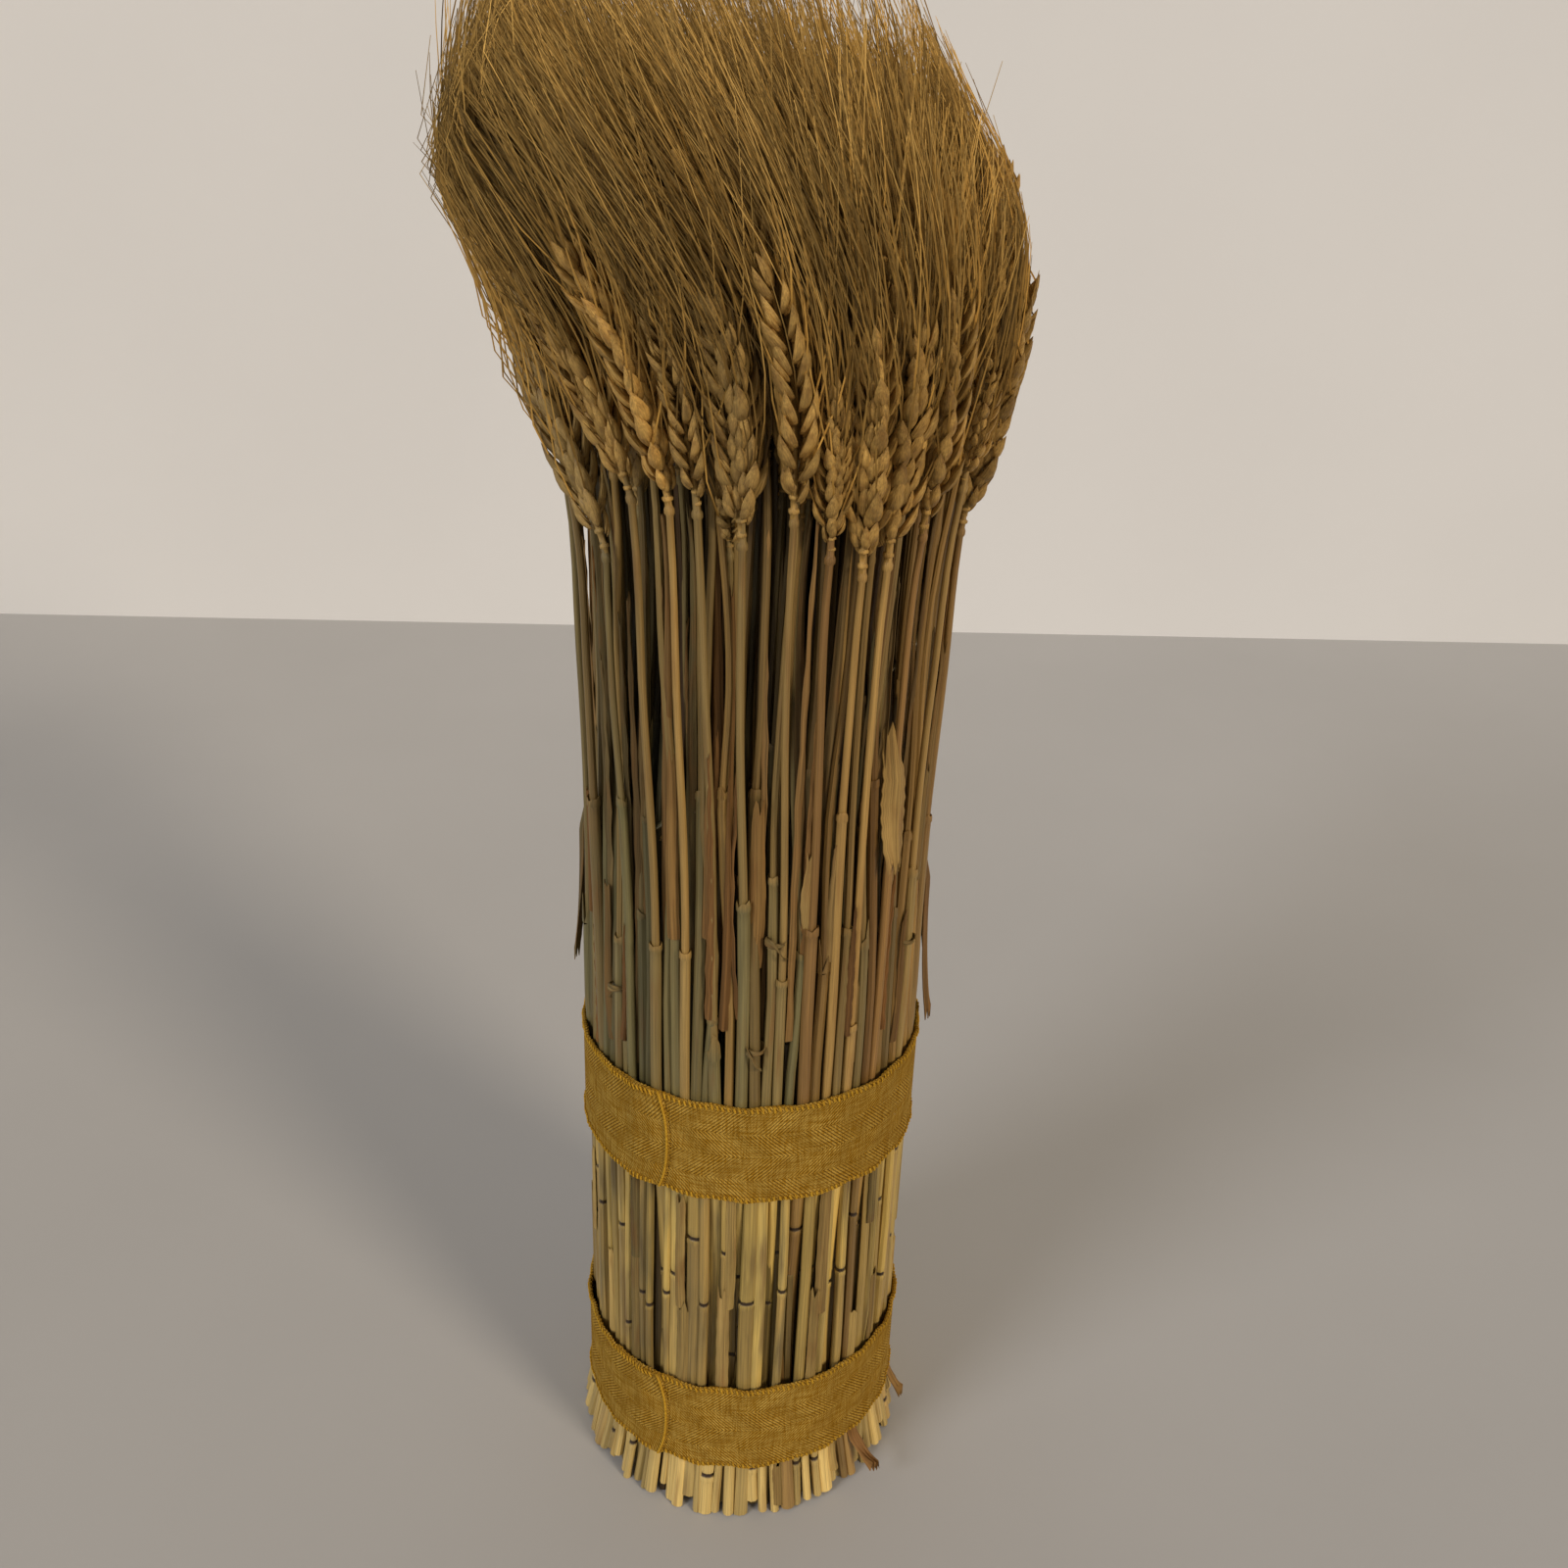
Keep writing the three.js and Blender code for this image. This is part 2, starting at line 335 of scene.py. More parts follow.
@dataclass(frozen=True)
class LeafFinish:
    """Brittle dry leaves and torn sheaths, ribbed along their length: brown, grey-green or pale."""

    brown: Colour = (0.20, 0.092, 0.026)
    grey: Colour = (0.105, 0.085, 0.036)
    pale: Colour = (0.40, 0.275, 0.088)
    rib_scale: Scale = (2.6, 0.5, 0.03)
    blotch_scale: Scale = (0.3, 0.3, 0.06)
    most_blotched: float = 0.6
    contrast: Span = (0.5, 1.45)
    bump: float = 0.35

    def material(self) -> bpy.types.Material:
        """Returns the material."""
        g = Graph("dry_leaf", roughness=0.6, specular=0.2)
        rib = g.grain(self.rib_scale, 3.0)
        blotch = g.grain(self.blotch_scale)
        colour = g.mixed(g.tag("green"), self.brown, self.grey)
        colour = g.mixed(g.tag("pale"), colour, self.pale)
        blotched = g.spanned(blotch, 0.5, 0.75, 0.0, self.most_blotched)
        colour = g.mixed(blotched, colour, self.brown)
        return g.finish(g.shaded(colour, rib, (0.25, 0.75), self.contrast), rib, self.bump)


@dataclass(frozen=True)
class ClothFinish:
    """The ribbons' cloth: mustard threads in a fine herringbone, with slubs and painted shade in the
    weave's hollows.
    """

    thread: Colour = (0.345, 0.172, 0.011)
    worn: Colour = (0.60, 0.38, 0.075)
    # Painted shade in the hollows of the weave.
    hollow: Colour = (0.135, 0.06, 0.004)
    pitch: float = 0.7
    diagonal: float = 1.35
    herringbone: float = 9.0
    crossing: float = 0.7
    slub_scale: Scale = (0.12, 1.7, 1.0)
    slub_across_scale: Scale = (1.7, 0.15, 1.0)
    patch_scale: Scale = (0.06, 0.08, 0.08)
    slub_height: float = 3.5
    bump: float = 0.2

    def material(self) -> bpy.types.Material:
        """Returns the material."""
        g = Graph("ribbon_cloth", roughness=0.9, specular=0.06)
        axes = g.node("SeparateXYZ", {"Vector": g.rest})
        along, up = axes.outputs["X"], axes.outputs["Y"]
        fold = g.math("PINGPONG", up, self.herringbone)
        twill = g.wave(g.math("ADD", along, fold), self.diagonal)
        crossed = g.math("MULTIPLY", g.wave(along, self.pitch), g.wave(up, self.pitch))
        weave = g.math("ADD", g.math("MULTIPLY", crossed, self.crossing), twill)
        slubs = g.math("MULTIPLY", g.grain(self.slub_scale, 3.0), g.grain(self.slub_across_scale, 3.0))
        patch = g.grain(self.patch_scale, 3.0)
        colour = g.mixed(g.spanned(slubs, 0.15, 0.34), self.thread, self.worn)
        colour = g.mixed(g.spanned(patch, 0.4, 0.75, 0.0, 0.5), colour, self.thread)
        # Painted shade where the weave dips.
        colour = g.mixed(g.spanned(weave, -0.1, -1.5, 0.0, 0.9), colour, self.hollow)
        height = g.math("ADD", weave, g.math("MULTIPLY", slubs, self.slub_height))
        return g.finish(colour, height, self.bump)


@dataclass(frozen=True)
class ThreadFinish:
    """The ribbons' overlocking, hems and frayed ends: thread a little brighter than the cloth."""

    bright: Colour = (0.62, 0.37, 0.035)
    dull: Colour = (0.34, 0.175, 0.013)
    twist_scale: Scale = (2.0, 2.0, 2.4)
    bump: float = 0.1

    def material(self) -> bpy.types.Material:
        """Returns the material."""
        g = Graph("ribbon_stitching", roughness=0.8, specular=0.08)
        twist = g.grain(self.twist_scale)
        colour = g.mixed(g.spanned(twist, 0.35, 0.7), self.dull, self.bright)
        return g.finish(colour, twist, self.bump)


@dataclass(frozen=True)
class FloorFinish:
    """A plain pale matt floor or wall."""

    name: str = "floor"
    light: Colour = (0.452, 0.445, 0.437)
    dark: Colour = (0.425, 0.418, 0.41)
    patch_scale: float = 3.0
    tooth_scale: float = 90.0
    bump: float = 0.05

    def material(self) -> bpy.types.Material:
        """Returns the material."""
        g = Graph(self.name, roughness=0.75, specular=0.1)
        patch = g.noise(g.place(), self.patch_scale, 4.0)
        colour = g.mixed(g.spanned(patch, 0.3, 0.7), self.light, self.dark)
        return g.finish(colour, g.noise(g.place(), self.tooth_scale, 3.0), self.bump)


# ---------------------------------------------------------------- shapes


@dataclass
class Shape:
    """A closed mesh as arrays: points, the faces' corners, and values kept for each point."""

    points: np.ndarray
    corners: np.ndarray
    sizes: np.ndarray
    tags: dict[str, np.ndarray] = field(default_factory=dict)

    @classmethod
    def lifted(cls, ob: bpy.types.Object) -> "Shape":
        """Takes the mesh of a modelled object and removes the object.

        Args:
            ob: The object, modelled in millimetres.

        Returns:
            Its mesh.
        """
        mesh = ob.data
        points = np.empty(len(mesh.vertices) * 3)
        corners = np.empty(len(mesh.loops), dtype=np.int64)
        sizes = np.empty(len(mesh.polygons), dtype=np.int64)
        mesh.vertices.foreach_get("co", points)
        mesh.loops.foreach_get("vertex_index", corners)
        mesh.polygons.foreach_get("loop_total", sizes)
        bpy.data.objects.remove(ob)
        bpy.data.meshes.remove(mesh)
        return cls(points.reshape(-1, 3), corners, sizes)

    @classmethod
    def joined(cls, shapes: Sequence["Shape"]) -> "Shape":
        """Returns several meshes as one, with the kinds of value that the first one keeps."""
        starts = np.cumsum([0, *(len(s.points) for s in shapes[:-1])])
        return cls(
            np.concatenate([s.points for s in shapes]),
            np.concatenate([s.corners + start for s, start in zip(shapes, starts)]),
            np.concatenate([s.sizes for s in shapes]),
            {key: np.concatenate([s.tags[key] for s in shapes]) for key in shapes[0].tags},
        )

    def copies(self, points: np.ndarray, **tags: np.ndarray) -> "Shape":
        """Copies the mesh once for each set of points.

        Args:
            points: An array of copies, points and three coordinates.
            **tags: Values for each copy and point, or that spread to them.

        Returns:
            The copies as one mesh.
        """
        count, size = points.shape[:2]
        offsets = np.arange(count)[:, None] * size
        made = {}
        for key, value in {**self.tags, **tags}.items():
            shape = (count, size, 3) if key == "rest" else (count, size)
            spread = np.broadcast_to(np.asarray(value, dtype=float), shape)
            made[key] = spread.reshape(-1, *shape[2:])
        return Shape(
            points.reshape(-1, 3),
            (self.corners[None, :] + offsets).reshape(-1),
            np.tile(self.sizes, count),
            made,
        )

    def piece(self, name: str, material: bpy.types.Material, slot: str, nodes: Sequence[str] = (),
              crease: float = 40.0) -> bpy.types.Object:
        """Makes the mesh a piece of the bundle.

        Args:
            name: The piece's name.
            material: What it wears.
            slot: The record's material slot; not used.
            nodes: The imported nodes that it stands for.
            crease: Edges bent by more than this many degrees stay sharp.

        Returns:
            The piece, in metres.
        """
        mesh = bpy.data.meshes.new(name)
        mesh.vertices.add(len(self.points))
        mesh.vertices.foreach_set("co", (self.points * MM).ravel())
        mesh.loops.add(len(self.corners))
        mesh.loops.foreach_set("vertex_index", self.corners.astype(np.int32))
        mesh.polygons.add(len(self.sizes))
        starts = np.concatenate([[0], np.cumsum(self.sizes)[:-1]]).astype(np.int32)
        mesh.polygons.foreach_set("loop_start", starts)
        mesh.update(calc_edges=True)
        mesh.polygons.foreach_set("use_smooth", np.ones(len(self.sizes), dtype=bool))
        mesh.set_sharp_from_angle(angle=math.radians(crease))
        for key, value in self.tags.items():
            kind, field_name = ("FLOAT_VECTOR", "vector") if value.ndim == 2 else ("FLOAT", "value")
            mesh.attributes.new(key, kind, "POINT").data.foreach_set(field_name, value.ravel())
        mesh.materials.append(material)
        ob = bpy.data.objects.new(name, mesh)
        bpy.context.scene.collection.objects.link(ob)
        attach(ob, ROOT)
        if nodes:
            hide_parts(*nodes)
        LOG.info("%s: %d faces", name, len(self.sizes))
        return ob


def turned(levels: Sequence[Span], sides: int, bore: float = 0.0, depth: float = 0.0) -> Shape:
    """Models a round rod by extruding a disc from level to level.

    Args:
        levels: Height and radius, lowest first.
        sides: How many sides the rod has.
        bore: The thickness of the wall at the foot where it is hollow, or 0.
        depth: How deep the hollow is.

    Returns:
        The rod, upright on the origin.
    """
    bpy.ops.object.select_all(action="DESELECT")
    foot, radius = levels[0]
    bpy.ops.mesh.primitive_circle_add(
        vertices=sides, radius=radius, fill_type="NGON", location=(0, 0, foot)
    )
    ob = bpy.context.object
    bpy.ops.object.transform_apply(location=True)
    bpy.ops.object.mode_set(mode="EDIT")
    bpy.ops.mesh.select_all(action="SELECT")
    for (low, wide), (high, narrow) in zip(levels, levels[1:]):
        bpy.ops.mesh.extrude_region_move(TRANSFORM_OT_translate={"value": (0, 0, high - low)})
        bpy.ops.transform.resize(value=(narrow / wide, narrow / wide, 1), center_override=(0, 0, high))
    if bore:
        bpy.ops.mesh.select_all(action="DESELECT")
        cage = bmesh.from_edit_mesh(ob.data)
        for face in cage.faces:
            face.select = all(v.co.z < foot + TINY for v in face.verts)
        bmesh.update_edit_mesh(ob.data)
        bpy.ops.mesh.inset(thickness=bore)
        bpy.ops.mesh.extrude_region_move(TRANSFORM_OT_translate={"value": (0, 0, depth)})
    bpy.ops.mesh.select_all(action="SELECT")
    bpy.ops.mesh.normals_make_consistent(inside=False)
    bpy.ops.object.mode_set(mode="OBJECT")
    return Shape.lifted(ob)


def strip(length: float, width: float, rows: int, columns: int, thickness: float) -> Shape:
    """Models a flat strip with two faces.

    Args:
        length: Its length along Z.
        width: Its width along X, centred.
        rows: How many cells it has along its length.
        columns: How many cells it has across.
        thickness: Its thickness along Y.

    Returns:
        The strip, from the origin up.
    """
    bpy.ops.object.select_all(action="DESELECT")
    bpy.ops.mesh.primitive_grid_add(x_subdivisions=columns, y_subdivisions=rows, size=1)
    ob = bpy.context.object
    bpy.ops.object.mode_set(mode="EDIT")
    bpy.ops.mesh.select_all(action="SELECT")
    bpy.ops.transform.resize(value=(width, length, 1), center_override=(0, 0, 0))
    bpy.ops.transform.translate(value=(0, length / 2, 0))
    bpy.ops.object.mode_set(mode="OBJECT")
    skin = ob.modifiers.new("skin", "SOLIDIFY")
    skin.thickness = thickness
    skin.offset = 0.0
    bpy.ops.object.modifier_apply(modifier=skin.name)
    shape = Shape.lifted(ob)
    shape.points = np.stack([shape.points[:, 0], -shape.points[:, 2], shape.points[:, 1]], axis=1)
    return shape


def smooth(value: np.ndarray, low: float, high: float) -> np.ndarray:
    """Returns 0 below low, 1 above high and an eased step between."""
    share = np.clip((np.asarray(value, dtype=float) - low) / (high - low), 0.0, 1.0)
    return share * share * (3 - 2 * share)


def polar(azimuth: np.ndarray, radius: np.ndarray) -> tuple[np.ndarray, np.ndarray]:
    """Returns x and y of the place at an azimuth and radius."""
    a = np.radians(azimuth)
    return radius * np.sin(a), -radius * np.cos(a)


def bearing(x: float, y: float) -> float:
    """Returns the azimuth of a place."""
    return math.degrees(math.atan2(x, -y))


def rotated(x: np.ndarray, y: np.ndarray, angle: np.ndarray) -> tuple[np.ndarray, np.ndarray]:
    """Returns two coordinates turned anticlockwise by an angle in radians."""
    return x * np.cos(angle) - y * np.sin(angle), x * np.sin(angle) + y * np.cos(angle)


@dataclass(frozen=True)
class Form:
    """How the whole bundle spreads and leans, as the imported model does."""

    neck_z: float = 368.0
    splay_height: float = 20.0
    splay: float = 0.08
    shoulder_z: float = 250.0
    shoulder_spread: float = 0.04
    crown_from_z: float = 345.0
    crown_to_z: float = 490.0
    crown_spread: float = 0.46
    axis_lean: float = 0.0104
    comb_z: float = 400.0
    comb_to_z: float = 500.0
    comb_shift: float = 12.0
    comb_bend: float = 0.4
    comb_rise: float = 130.0
    comb_left_reach: float = 70.0
    comb_right_reach: float = 58.0
    laying_rounds: int = 3

    def spread(self, z: np.ndarray) -> np.ndarray:
        """Returns how much further apart the stalks are at z than where the ribbons hold them."""
        splay = self.splay * (1 - np.minimum(z, self.splay_height) / self.splay_height)
        shoulder = self.shoulder_spread * smooth(z, self.shoulder_z, self.neck_z)
        return 1 + splay + shoulder + self.crown_spread * smooth(z, self.crown_from_z, self.crown_to_z)

    def combed(self, x: np.ndarray, z: np.ndarray) -> np.ndarray:
        """Returns how far the comb has moved an awn that starts at x, at height z."""
        reach = np.where(x < 0, self.comb_left_reach, self.comb_right_reach)
        risen = np.maximum(0, z - self.comb_z)
        bend = self.comb_bend * (1 - (x / reach) ** 2) * risen**2 / self.comb_rise
        return bend + self.comb_shift * smooth(z, self.comb_z, self.comb_to_z)

    def lean(self, points: np.ndarray) -> np.ndarray:
        """Returns the real places of points laid out upright round the axis."""
        x, y, z = np.moveaxis(points, -1, 0)
        plumb = self.axis_lean * np.minimum(z, self.neck_z)
        spread = self.spread(z)
        return np.stack([plumb + spread * x - self.combed(x, z), spread * y, z], axis=-1)

    def laid(self, points: np.ndarray) -> np.ndarray:
        """Returns where real places lie in the upright layout, the reverse of lean()."""
        x, y, z = np.moveaxis(points, -1, 0)
        plumb = self.axis_lean * np.minimum(z, self.neck_z)
        spread = self.spread(z)
        start = (x - plumb) / spread
        for _ in range(self.laying_rounds):
            start = (x - plumb + self.combed(start, z)) / spread
        return np.stack([start, y / spread, z], axis=-1)

    def flow(self, points: np.ndarray) -> np.ndarray:
        """Returns the unit direction that the bundle runs in at real places."""
        laid = self.laid(points)
        step = self.lean(laid + (0, 0, 1.0)) - self.lean(laid)
        return step / np.linalg.norm(step, axis=-1, keepdims=True)


FORM = Form()


# ---------------------------------------------------------------- paths


@dataclass
class Path:
    """A stalk's centreline from its cut end to the tips of its awns, through real points."""

    z: np.ndarray
    x: np.ndarray
    y: np.ndarray

    @classmethod
    def through(cls, points: np.ndarray) -> "Path":
        """Returns the path through points, lowest first."""
        return cls(points[:, 2], points[:, 0], points[:, 1])

    @classmethod
    def of_node(cls, node: str) -> "Path":
        """Reads a packed stalk's centreline from the rings of points it is made of.

        Args:
            node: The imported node.

        Returns:
            The path through the middle of each ring.
        """
        mesh = next(o for o in bpy.data.objects if o.get("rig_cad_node") == node).data
        flat = np.empty(len(mesh.vertices) * 3)
        mesh.vertices.foreach_get("co", flat)
        points = np.unique(np.round(flat.reshape(-1, 3) / MM, 2), axis=0)
        levels = np.unique(points[:, 2])
        return cls.through(np.array([points[points[:, 2] == z].mean(axis=0) for z in levels]))

    def at(self, z: np.ndarray) -> np.ndarray:
        """Returns the path's points at heights, on a smooth curve through its own."""
        z = np.asarray(z, dtype=float)
        k = np.clip(np.searchsorted(self.z, z) - 1, 0, len(self.z) - 2)
        width = self.z[k + 1] - self.z[k]
        t = np.clip((z - self.z[k]) / width, 0, 1)
        out = []
        for values in (self.x, self.y):
            slope = np.gradient(values, self.z)
            low, high = values[k], values[k + 1]
            ease = 3 * t**2 - 2 * t**3
            bend = (t**3 - 2 * t**2 + t) * slope[k] + (t**3 - t**2) * slope[k + 1]
            beyond = np.maximum(0, z - self.z[-1]) * slope[-1]
            out.append(low + (high - low) * ease + bend * width + beyond)
        return np.stack([*out, z], axis=-1)

    def heading(self, z: np.ndarray) -> np.ndarray:
        """Returns the path's unit direction at heights."""
        step = self.at(np.asarray(z) + 1.0) - self.at(np.asarray(z) - 1.0)
        return step / np.linalg.norm(step, axis=-1, keepdims=True)


class Grade(Enum):
    """How finely a stalk is modelled."""

    FRONT = "its whole length and its ear are in sight"
    GLIMPSED = "it shows between others"
    BURIED = "only its cut end and its awns show"


# How light each grade's stems are: a random tone within each range, with painted shade making stalks deeper
# in the bundle darker.
TONES_AND_DEPTH_SHADE = {Grade.FRONT: (0.82, 1.36), Grade.GLIMPSED: (0.52, 1.06), Grade.BURIED: (0.2, 0.5)}


@dataclass
class Stalk:
    """One stalk: where it runs and how it differs from the others."""

    path: Path
    neck_z: float
    tip_z: float
    grade: Grade
    girth: float
    # How green-grey: random, with a painted cool-light tint on the left of the front.
    green: float
    # Lightness of the stem: random, with painted shade for stalks deeper in the bundle.
    tone: float
    node_z: float
    sheath_z: float
    turn: float
    ear_turn: float
    ear_tone: float
    flat: float
    dull: float
    brown: float
    tear: float


# ---------------------------------------------------------------- the parts of a stalk


@dataclass
class Culm:
    """A wheat stem: hollow cut end, ringed node, torn leaf sheath, bare neck with a collar."""

    sides: int
    spacing: float
    node_z: float = 100.0
    sheath_z: float = 220.0
    neck_z: float = 368.0
    foot_radius: float = 1.86
    stem_radius: float = 1.8
    node_radius: float = 1.95
    ring_radius: float = 1.5
    sheath_radius: float = 1.82
    bare_radius: float = 1.28
    neck_radius: float = 1.05
    collar_radius: float = 1.5
    wall: float = 0.42
    hollow: float = 5.0
    press: float = 0.4
    pressed_below: Span = (120.0, 200.0)
    wobble: float = 0.3
    wobble_pitch: float = 23.0

    def steady(self, low: float, high: float, radius: float, end_radius: float) -> list[Span]:
        """Returns even levels strictly between two heights."""
        heights = np.linspace(low, high, max(3, round((high - low) / self.spacing) + 1))[1:-1]
        return [(z, float(np.interp(z, [low, high], [radius, end_radius]))) for z in heights]

    def levels(self) -> list[Span]:
        """Returns the stem's heights and radii, lowest first: foot, node, sheath, neck."""
        node, sheath, neck = self.node_z, self.sheath_z, self.neck_z
        stem, wrap, bare, thin = self.stem_radius, self.sheath_radius, self.bare_radius, self.neck_radius
        knot = ((-3.0, stem), (-2.4, self.node_radius), (-0.7, self.node_radius), (-0.3, self.ring_radius),
                (0.8, self.ring_radius), (1.2, stem * 0.95), (2.6, stem))
        lip = ((-5.0, wrap), (-0.9, wrap), (-0.3, wrap * 1.16), (0.8, wrap * 1.14), (1.6, wrap * 1.04),
               (0.9, bare), (3.0, bare))
        collar = ((-4.2, thin), (-3.4, self.collar_radius), (-2.2, self.collar_radius), (-1.2, thin),
                  (4.0, thin * 0.8))
        return [
            (0.0, self.foot_radius),
            *self.steady(0, node - 4, stem, stem),
            *((node + rise, radius) for rise, radius in knot),
            *self.steady(node + 3, sheath - 6, wrap, wrap),
            *((sheath + rise, radius) for rise, radius in lip),
            *self.steady(sheath + 3, neck - 6, bare, thin),
            *((neck + rise, radius) for rise, radius in collar),
        ]

    def marks(self, foot: float, node: float, sheath: float, neck: float) -> list[float]:
        """Returns the heights between which a stem is stretched to fit another."""
        return [foot, node - 4, node + 4, sheath - 5, sheath + 3, neck - 6, neck + 4]

    def model(self) -> Shape:
        """Returns the stem at its own heights, standing on the origin."""
        node, sheath = self.node_z, self.sheath_z
        shape = turned(self.levels(), self.sides, self.wall, self.hollow)
        x, y, z = shape.points.T
        radius = np.hypot(x, y)
        # Painted shade: the ring band darkens the groove above the node and, at 0.8, the inside of the
        # hollow cut end.
        shape.tags["ring"] = ((z > node - 0.4) & (z < node + 0.9)).astype(float)
        shape.tags["ring"][(radius < self.foot_radius * 0.9) & (z < self.hollow + 1)] = 0.8
        shape.tags["sheathed"] = ((z > node + 2) & (z < sheath + 0.2)).astype(float)
        shape.tags["dull"] = (z < node - 0.9).astype(float)
        return shape

    def grown(self, model: Shape, stalks: Sequence[Stalk], rng: np.random.Generator) -> Shape:
        """Copies the stem for each stalk, bent along its path.

        Args:
            model: The stem from model().
            stalks: The stalks.
            rng: Where the small differences come from.

        Returns:
            All their stems.
        """
        x, y, z = model.points.T
        around = np.arctan2(y, x)
        sheathed = z < self.sheath_z + 1.8
        lip = (np.abs(z - self.sheath_z - 1.2) < 0.5) & (np.hypot(x, y) > self.bare_radius * 1.2)
        marks = self.marks(0, self.node_z, self.sheath_z, self.neck_z)
        made, rests = [], []
        for stalk in stalks:
            own = self.marks(stalk.path.z[0], stalk.node_z, stalk.sheath_z, stalk.neck_z)
            height = np.interp(z, marks, own)
            tear = 0.5 + 0.5 * np.sin(2 * around + stalk.turn)
            tear = tear + 0.3 * np.sin(5 * around + stalk.turn * 3)
            height = height + np.where(lip, stalk.tear * tear, 0)
            girth = np.where(sheathed, stalk.girth, 0.5 + 0.5 * stalk.girth)
            across, deep = rotated(x * girth, y * girth, math.radians(stalk.turn))
            place = stalk.path.at(height)
            facing = np.arctan2(place[:, 1], place[:, 0])
            out, aside = rotated(across, deep, -facing)
            press = stalk.flat * (1 - smooth(height, *self.pressed_below))
            across, deep = rotated(out * (1 - self.press * press), aside * (1 + press), facing)
            wobble = self.wobble * np.sin(height / self.wobble_pitch + stalk.turn)
            made.append(place + np.stack([across + wobble, deep, 0 * z], axis=-1))
            rests.append(np.stack([x, y, height], axis=-1) + rng.uniform(0, 900, 3))
        column = {
            name: np.array([getattr(stalk, name) for stalk in stalks])[:, None]
            for name in ("tone", "green", "dull", "brown")
        }
        wrap = model.tags["sheathed"][None, :]
        upper = (z > self.sheath_z)[None, :]
        return model.copies(
            np.array(made),
            rest=np.array(rests),
            # tone carries the painted depth shade, green the painted cool-light tint on the left.
            tone=column["tone"] * (1 + 0.1 * wrap),
            green=np.clip(column["green"] * (1 + 0.3 * wrap - 0.25 * upper), 0, 1),
            brown=column["brown"],
            dull=np.clip(model.tags["dull"][None, :] * 0.6 + column["dull"], 0, 1),
        )


@dataclass
class Husk:
    """One husk: a pointed boat, widest below its middle, keeled outside and flat inside."""

    length: float = 12.0
    width: float = 4.0
    depth: float = 2.8
    around: int = 8
    along: int = 8
    pinch_at: tuple[float, ...] = (0, 0.12, 0.35, 0.6, 0.8, 0.93, 1)
    pinch: tuple[float, ...] = (0.8, 1.0, 1.1, 0.98, 0.7, 0.36, 0.2)

    def model(self) -> Shape:
        """Returns the husk standing on the origin, its keel towards +Y."""
        bpy.ops.object.select_all(action="DESELECT")
        bpy.ops.mesh.primitive_uv_sphere_add(segments=self.around, ring_count=self.along, radius=0.5)
        ob = bpy.context.object
        bpy.ops.object.mode_set(mode="EDIT")
        bpy.ops.mesh.select_all(action="SELECT")
        bpy.ops.transform.resize(value=(self.width, self.depth, self.length), center_override=(0, 0, 0))
        bpy.ops.transform.translate(value=(0, 0, self.length / 2))
        bpy.ops.object.mode_set(mode="OBJECT")
        shape = Shape.lifted(ob)
        x, y, z = shape.points.T
        share = z / self.length
        pinch = np.interp(share, self.pinch_at, self.pinch)
        keel = np.where(y > 0, 1.2 - 0.5 * np.abs(x) / self.width, 0.5)
        bow = 0.7 * np.sin(math.pi * share)
        shape.points = np.stack([x * pinch, y * pinch * keel + bow, z], axis=1)
        shape.tags["rest"] = shape.points.copy()
        # The ring mask: painted shade at the foot, where the husk tucks under its neighbours, and a darker
        # beak.
        shape.tags["ring"] = np.interp(share, [0, 0.14, 0.75, 1], [0.85, 0.12, 0.0, 0.4])
        return shape


@dataclass(frozen=True)
class Floret:
    """One husk's place in a spikelet."""

    aside: float
    up: float
    off: float
    lean_out: float
    fan: float
    size: float
    awn: float


FLORETS = {
    Grade.FRONT: (
        Floret(-1.8, 0.0, 0.9, 14, -12, 0.78, 0.0),
        Floret(1.8, 0.0, 0.9, 14, 12, 0.78, 0.0),
        Floret(-1.7, 1.2, 0.3, 15, -16, 1.0, 1.0),
        Floret(1.7, 1.2, 0.3, 15, 16, 1.0, 1.0),
        Floret(0.0, 2.4, 0.5, 13, 0, 0.92, 0.9),
    ),
    Grade.GLIMPSED: (
        Floret(-1.7, 0.3, 0.5, 17, -14, 1.05, 1.0),
        Floret(1.7, 0.3, 0.5, 17, 14, 1.05, 1.0),
        Floret(0.0, 2.4, 0.5, 15, 0, 0.95, 0.0),
    ),
    Grade.BURIED: (Floret(0.0, 0.5, 0.4, 15, 0, 1.1, 1.0),),
}


